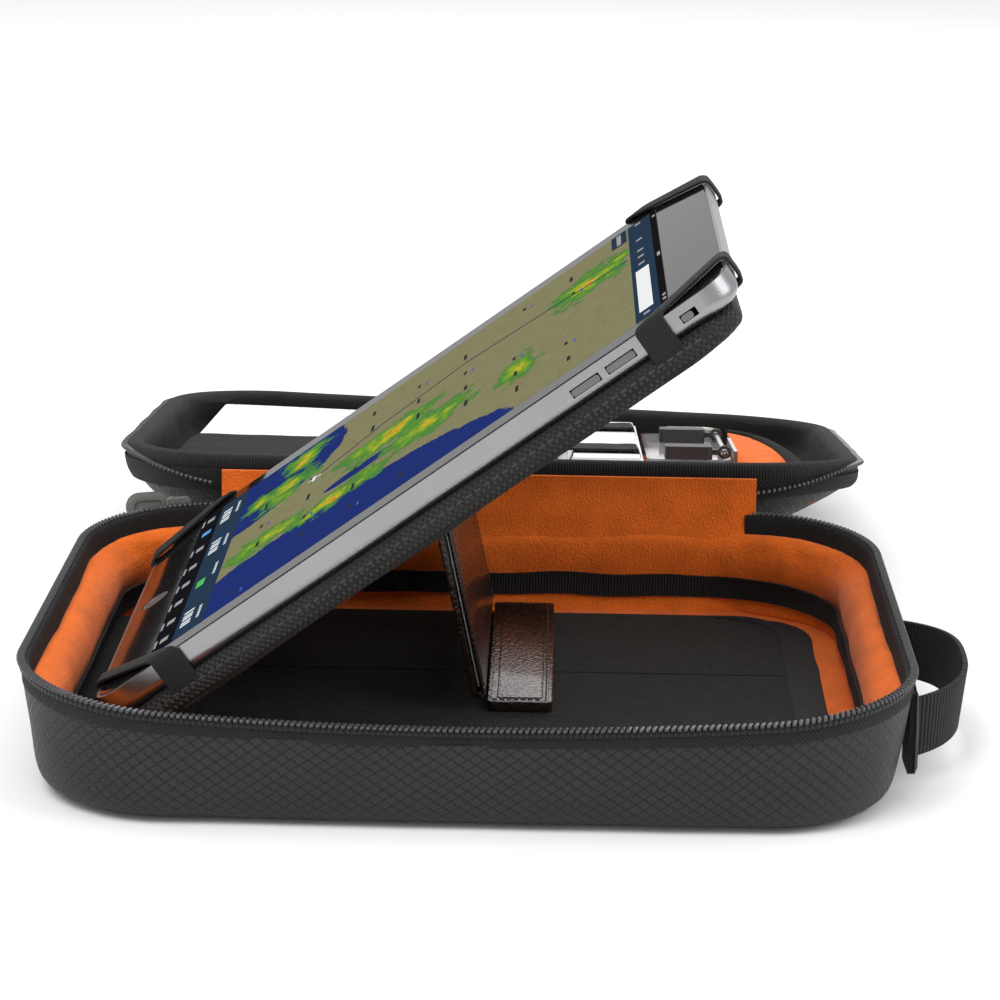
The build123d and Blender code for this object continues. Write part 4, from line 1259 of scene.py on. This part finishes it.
# %% Board
b_len, b_half = 241.0 - 3.0, 97.0
board_pad = plate("board_pad", -3 + 0.6, b_len - 0.6, -b_half + 0.6, b_half - 0.6, -18.5 + 0.7, -9.9, 15, 3.2)
pick(board_pad, "FACE", lambda p, f: True)
bpy.ops.mesh.quads_convert_to_tris()
leave()
inflate(board_pad, 3.2, 2.5, 0.9)
modify(board_pad, "SUBSURF", levels=1, render_levels=1)
shape(board_pad, lambda x, y, z: (x + 0.5 * wave(x, y, z, 30, 2), y + 0.5 * wave(x, y, z, 30, 5), z + (
    0.5 * wave(x, y, z, 40, 8) if z < -14 else 0)))
place(board_pad, board_nylon, "board", "board_nylon", ("board_cover", "board_core"), frame_of=TABLET, angle=80)
edge_rows = [stitches("edge", (8, y, -11.6), (b_len - 12, y, -11.6), 3.4, 2.3, 0.3)
             for y in (-b_half - 0.15, b_half + 0.15)]
place(joined("board_stitches", edge_rows), thread, "board", "board_nylon", frame_of=TABLET)

# %% Tablet's hard pieces
for name, material, slot in (("tablet_housing", aluminium, "aluminium"),
                             ("tablet_glass", glass_black, "glass"),
                             ("battery", battery_foil, "battery"),
                             ("home_button", button_black, "button_black"),
                             ("volume_up", button_metal, "button_black"),
                             ("volume_down", button_metal, "button_black"),
                             ("mute_switch", button_metal, "button_metal"),
                             ("sleep_button", button_metal, "button_metal")):
    finish_as(name, material)

# %% [markdown]
# The picture is a thin film just above the glass, with the screen's own coordinates in
# millimetres as its UV map. A ring marks the home button.

# %% Screen film and home ring
film = cloth("screen_film", 199.0, 161.0, 8, 8, lambda x, y: (21 + x, -80.5 + y, 0.05))
for corner in film.data.uv_layers.active.data:
    corner.uv = (corner.uv[0] + 21 * MM, corner.uv[1] - 80.5 * MM)
modify(film, "SOLIDIFY", thickness=0.05 * MM, offset=-1)
place(film, screen, "board", "display", ("display_panel",), frame_of=TABLET)


# %% [markdown]
# The marks on the screen are rectangles of thin film. One plane is arrayed to the number
# that is needed, and each copy is then moved to its place. They are plain bars, so that
# nothing on the screen can be read.

# %% Screen marks
def films(name, color, boxes, height, glow=0.95):
    """Rectangles of one colour, each from and to up the screen and across it, and its slant."""
    ink, tree, shader = paint("ink_" + name, (0.004, 0.004, 0.005), 0.3, Specular_IOR_Level=0.0)
    shader.inputs["Emission Color"].default_value = (*color, 1)
    shader.inputs["Emission Strength"].default_value = glow
    shade = use(tree, patchy, Vector=position(tree), Size=0.02, Amount=0.2)["Shade"]
    tint(tree, shader, (0.004, 0.004, 0.005), shade)
    haze = use(tree, patchy, Vector=position(tree), Size=0.01, Amount=0.2)["Shade"]
    tree.links.new(haze, shader.inputs["Coat Roughness"])
    bpy.ops.object.select_all(action="DESELECT")
    bpy.ops.mesh.primitive_plane_add(size=1 * MM)
    film = bpy.context.object
    film.name = "screen_" + name
    modify(film, "ARRAY", count=len(boxes), use_relative_offset=False, use_constant_offset=True,
           constant_offset_displace=(2 * MM, 0, 0))
    for v in film.data.vertices:
        x0, x1, y0, y1, *lean = boxes[v.index // 4]
        slant = lean[0] if lean else 0.0
        first_x, first_y = v.index % 4 in (0, 2), v.index % 4 in (0, 1)
        across = (y1 - y0) / 2 * (-1 if first_y else 1) + (-slant if first_x else slant)
        v.co = Vector((x0 if first_x else x1, (y0 + y1) / 2 + across, height)) * MM
    modify(film, "SOLIDIFY", thickness=0.02 * MM, offset=0)
    return place(film, ink, "board", "display", frame_of=TABLET)


marks = [(52 + (i * 43) % 150, -72 + (i * 59) % 146) for i in range(30)]
films("map_marks", (0.03, 0.03, 0.03),
      [(x, x + 1.3, y, y + 4 + i % 3 * 2) for i, (x, y) in enumerate(marks)], 0.09)
films("map_signs", (0.08, 0.12, 0.42), [(x + 3.5, x + 4.4, y - 3, y + 1) for x, y in marks[::3]], 0.09)
route = ((75, 20), (105, 33), (140, 40), (175, 33), (207, 25))
films("route", (0.03, 0.03, 0.08), [(x0, x1, (y0 + y1) / 2 - 0.7, (y0 + y1) / 2 + 0.7, (y1 - y0) / 2)
                                    for (x0, y0), (x1, y1) in zip(route, route[1:])], 0.10)
films("bars", (0.018, 0.040, 0.075),
      [(29.5, 41.5, -80.5, 80.5), (208, 217.3, -80.5, 80.5), (201, 207.3, 58.5, 80.5)], 0.11)
films("frame", (0.004, 0.004, 0.005), [(21, 29.5, -80.5, 80.5), (217.3, 220, -80.5, 80.5)], 0.12)
numbers = [(31.2, 35.2, start + step, start + step + 2.0)
           for start in (53, 13, -70) for step in (0, 3, 7, 10, 14)]
captions = [(37.6, 38.8, y, y + 1.2) for start in (57, 14, -21, -70) for y in range(start, start + 14, 2)]
ship = [(73.5, 79, 19.4, 20.6), (75.2, 76.6, 17, 23)]
films("numbers", (0.80, 0.84, 0.88), numbers + captions + ship, 0.14)
films("ready", (0.10, 0.55, 0.10), [(31.5, 34.8, -27, -19)], 0.14)
films("buttons", (0.36, 0.37, 0.39), [(23.6, 26.8, y, y + 4.5) for y in (69, 31, 9, -12, -33, -54, -73)]
      + [(21.3, 22.2, y - 1.5, y + 6) for y in (69, 31, 9, -12, -33, -54, -73)]
      + [(211, 213.4, y, y + 2.6) for y in (75, 46, 27, 16, 4, -75)]
      + [(218.3, 219.5, y, y + 3) for y in (70, 2, -1, -66, -72)] + [(203.2, 205, 61, 78)], 0.15)
films("chosen", (0.12, 0.38, 0.75), [(23.4, 27.2, 51, 56)], 0.15)
films("search", (0.9, 0.91, 0.92), [(209.6, 214.8, -68, -4)], 0.15)

# %% Home ring
bpy.ops.object.select_all(action="DESELECT")
bpy.ops.mesh.primitive_torus_add(location=(10.5 * MM, 0, -0.3 * MM), major_radius=4.9 * MM,
                                 minor_radius=0.28 * MM, major_segments=40, minor_segments=8)
bpy.ops.object.transform_apply(location=True)
home_ring = bpy.context.object
home_ring.name = "home_ring"
place(home_ring, button_metal, "home_button", "button_black", frame_of=TABLET)

# %% [markdown]
# Each strap is one length of elastic. It comes up the long edge from under the board,
# crosses the corner of the glass and goes down the end. It is modelled as a ribbon that
# follows those three runs, with a soft fold at each edge of the tablet.


# %% Corner straps
def ribbon_point(runs, t):
    """A point on a polyline with evenly shared runs, t from 0 to 1."""
    lengths = [(b - a).length for a, b in zip(runs, runs[1:])]
    far = t * sum(lengths)
    for a, b, length in zip(runs, runs[1:], lengths):
        if far <= length or b is runs[-1]:
            return a.lerp(b, min(far / length, 1))
        far -= length


def strap(name, end, side, node_name):
    """end is 0 for the low end and 1 for the high one; side is -1 near and 1 far."""
    edge_x, sx = (0.0, 1) if end == 0 else (241.0, -1)
    half = 93.0

    def line(a, b, over):
        """One edge of the ribbon: a from the corner along the side, b along the end."""
        return [Vector((edge_x + sx * a, side * (half + 1.2), -17.6)),
                Vector((edge_x + sx * a, side * (half + 1.3), -6.0)),
                Vector((edge_x + sx * a, side * (half + 0.9), 0.4)),
                Vector((edge_x + sx * (a - 1.5), side * (half - 0.6), 1.1)),
                Vector((edge_x + sx * 0.8, side * (half - b + 1.2), 1.1 + over)),
                Vector((edge_x - sx * 0.9, side * (half - b), 0.5)),
                Vector((edge_x - sx * 1.1, side * (half - b), -5.0)),
                Vector((edge_x - sx * 0.9, side * (half - b), -8.6)),
                Vector((edge_x + sx * 3.0, side * (half - b), -9.5))]

    outer, inner = line(23.5, 18.5, 0.4), line(34.0, 28.5, 0.0)
    band = cloth(name, 100.0, 10.0, 72, 8, lambda s, w: (s, w, 0))
    for v in band.data.vertices:
        t, w = v.co.x / 0.1, v.co.y / 0.01
        p = ribbon_point(outer, t).lerp(ribbon_point(inner, t), w)
        crown = 0.45 * math.sin(math.pi * w)
        v.co = (p + Vector((0, side * 0.1, crown if 0.2 < t < 0.8 else 0))) * MM
    modify(band, "SMOOTH", factor=0.5, iterations=2)
    modify(band, "SOLIDIFY", thickness=1.0 * MM, offset=0)
    modify(band, "BEVEL", width=0.25 * MM, segments=2, limit_method="ANGLE")
    return place(band, strap_elastic, "board", "elastic", (node_name,), frame_of=TABLET, angle=60)


for end_name, end in (("low", 0), ("high", 1)):
    for side_name, side in (("near", -1), ("far", 1)):
        strap("strap_%s_%s_web" % (end_name, side_name), end, side, "strap_%s_%s" % (end_name, side_name))

# %% [markdown]
# ## The stand
# Two leaves of glossy leatherette lean left under the board, with a white card between
# them, and a foot lies on the floor. Each leaf is a thin padded slab with a line of
# thread just inside its edge.


# %% Stand leaves
UPRIGHT = Matrix.Rotation(math.radians(-90), 4, "Y")


def leaf_slab(name, length, y0, y1, low, high, puff, start=0.0):
    """A leaf that lies along +X, thin at its sewn edge and a little swollen inside it."""
    slabs = [plate("slab", start, length, y0, y1, low + 0.25, high - 0.25, 2.2, 0.25),
             plate("slab", start + 1.1, length - 1.1, y0 + 1.1, y1 - 1.1, low + 0.12, high - 0.12, 1.8, 0.12)]
    slabs.append(plate("slab", start + 3.2, length - 3.2, y0 + 3.2, y1 - 3.2,
                       low - puff / 2, high + puff / 2, 1.4, puff * 0.8))
    return joined(name, slabs)


def stitched(length, y0, y1, levels, start=0.0):
    """Rows of thread round three sides of a leaf, on each of its faces."""
    rows = []
    for level in levels:
        rows += [stitches("s", (start + 2.5, y, level), (length - 2.4, y, level)) for y in (y0 + 2.2, y1 - 2.2)]
        rows.append(stitches("s", (length - 2.2, y0 + 2.5, level), (length - 2.2, y1 - 2.5, level)))
    return rows


low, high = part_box("stand_foot")
foot_x0, foot_x1, sy0, sy1 = low.x / MM, high.x / MM, low.y / MM, high.y / MM
foot_z0, foot_z1 = low.z / MM, high.z / MM
stand_foot = leaf_slab("stand_foot_pad", foot_x1, sy0, sy1, foot_z0, foot_z1, 0.5, foot_x0)
place(stand_foot, leatherette, "tray", "leatherette", ("stand_foot",), angle=50)
foot_rows = stitched(foot_x1, sy0, sy1, [foot_z1 - 0.05], foot_x0)
place(joined("foot_stitches", foot_rows), thread, "tray", "leatherette")
p_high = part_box("stand_panel")[1]
height = (p_high.z / MM - fold.z / MM) / math.cos(STAND_LEAN) - 0.4
back_leaf = leaf_slab("stand_back", height + 2.0, sy0, sy1, 2.1, 4.5, 0.3, 0.6)
place(back_leaf, leatherette, "stand", "leatherette", ("stand_panel",), frame_of=STAND @ UPRIGHT, angle=50)
front_leaf = leaf_slab("stand_front", height - 2.4, sy0, sy1, -0.4, 0.9, 0.2, 0.8)
hem = plate("stand_hem", 0.6, 3.0, sy0, sy1, 0.7, 2.3, 0.5, 0.1)
front_leaf = joined("stand_front", [front_leaf, hem])
place(front_leaf, leatherette, "stand", "leatherette", ("stand_pocket",), frame_of=STAND @ UPRIGHT, angle=50)
seams = stitched(height, sy0, sy1, [4.45]) + stitched(height - 4.2, sy0, sy1, [-0.35])
place(joined("stand_stitches", seams), thread, "stand", "leatherette", frame_of=STAND @ UPRIGHT)

# %% Card in the stand
stand_card = plate("stand_card_sheet", 4, height + 0.6, sy0 + 2.4, sy1 - 5, 1.3, 1.75, 0.2, 0.1)
place(stand_card, card, "stand_card", "paper", ("stand_card",), frame_of=STAND @ UPRIGHT)
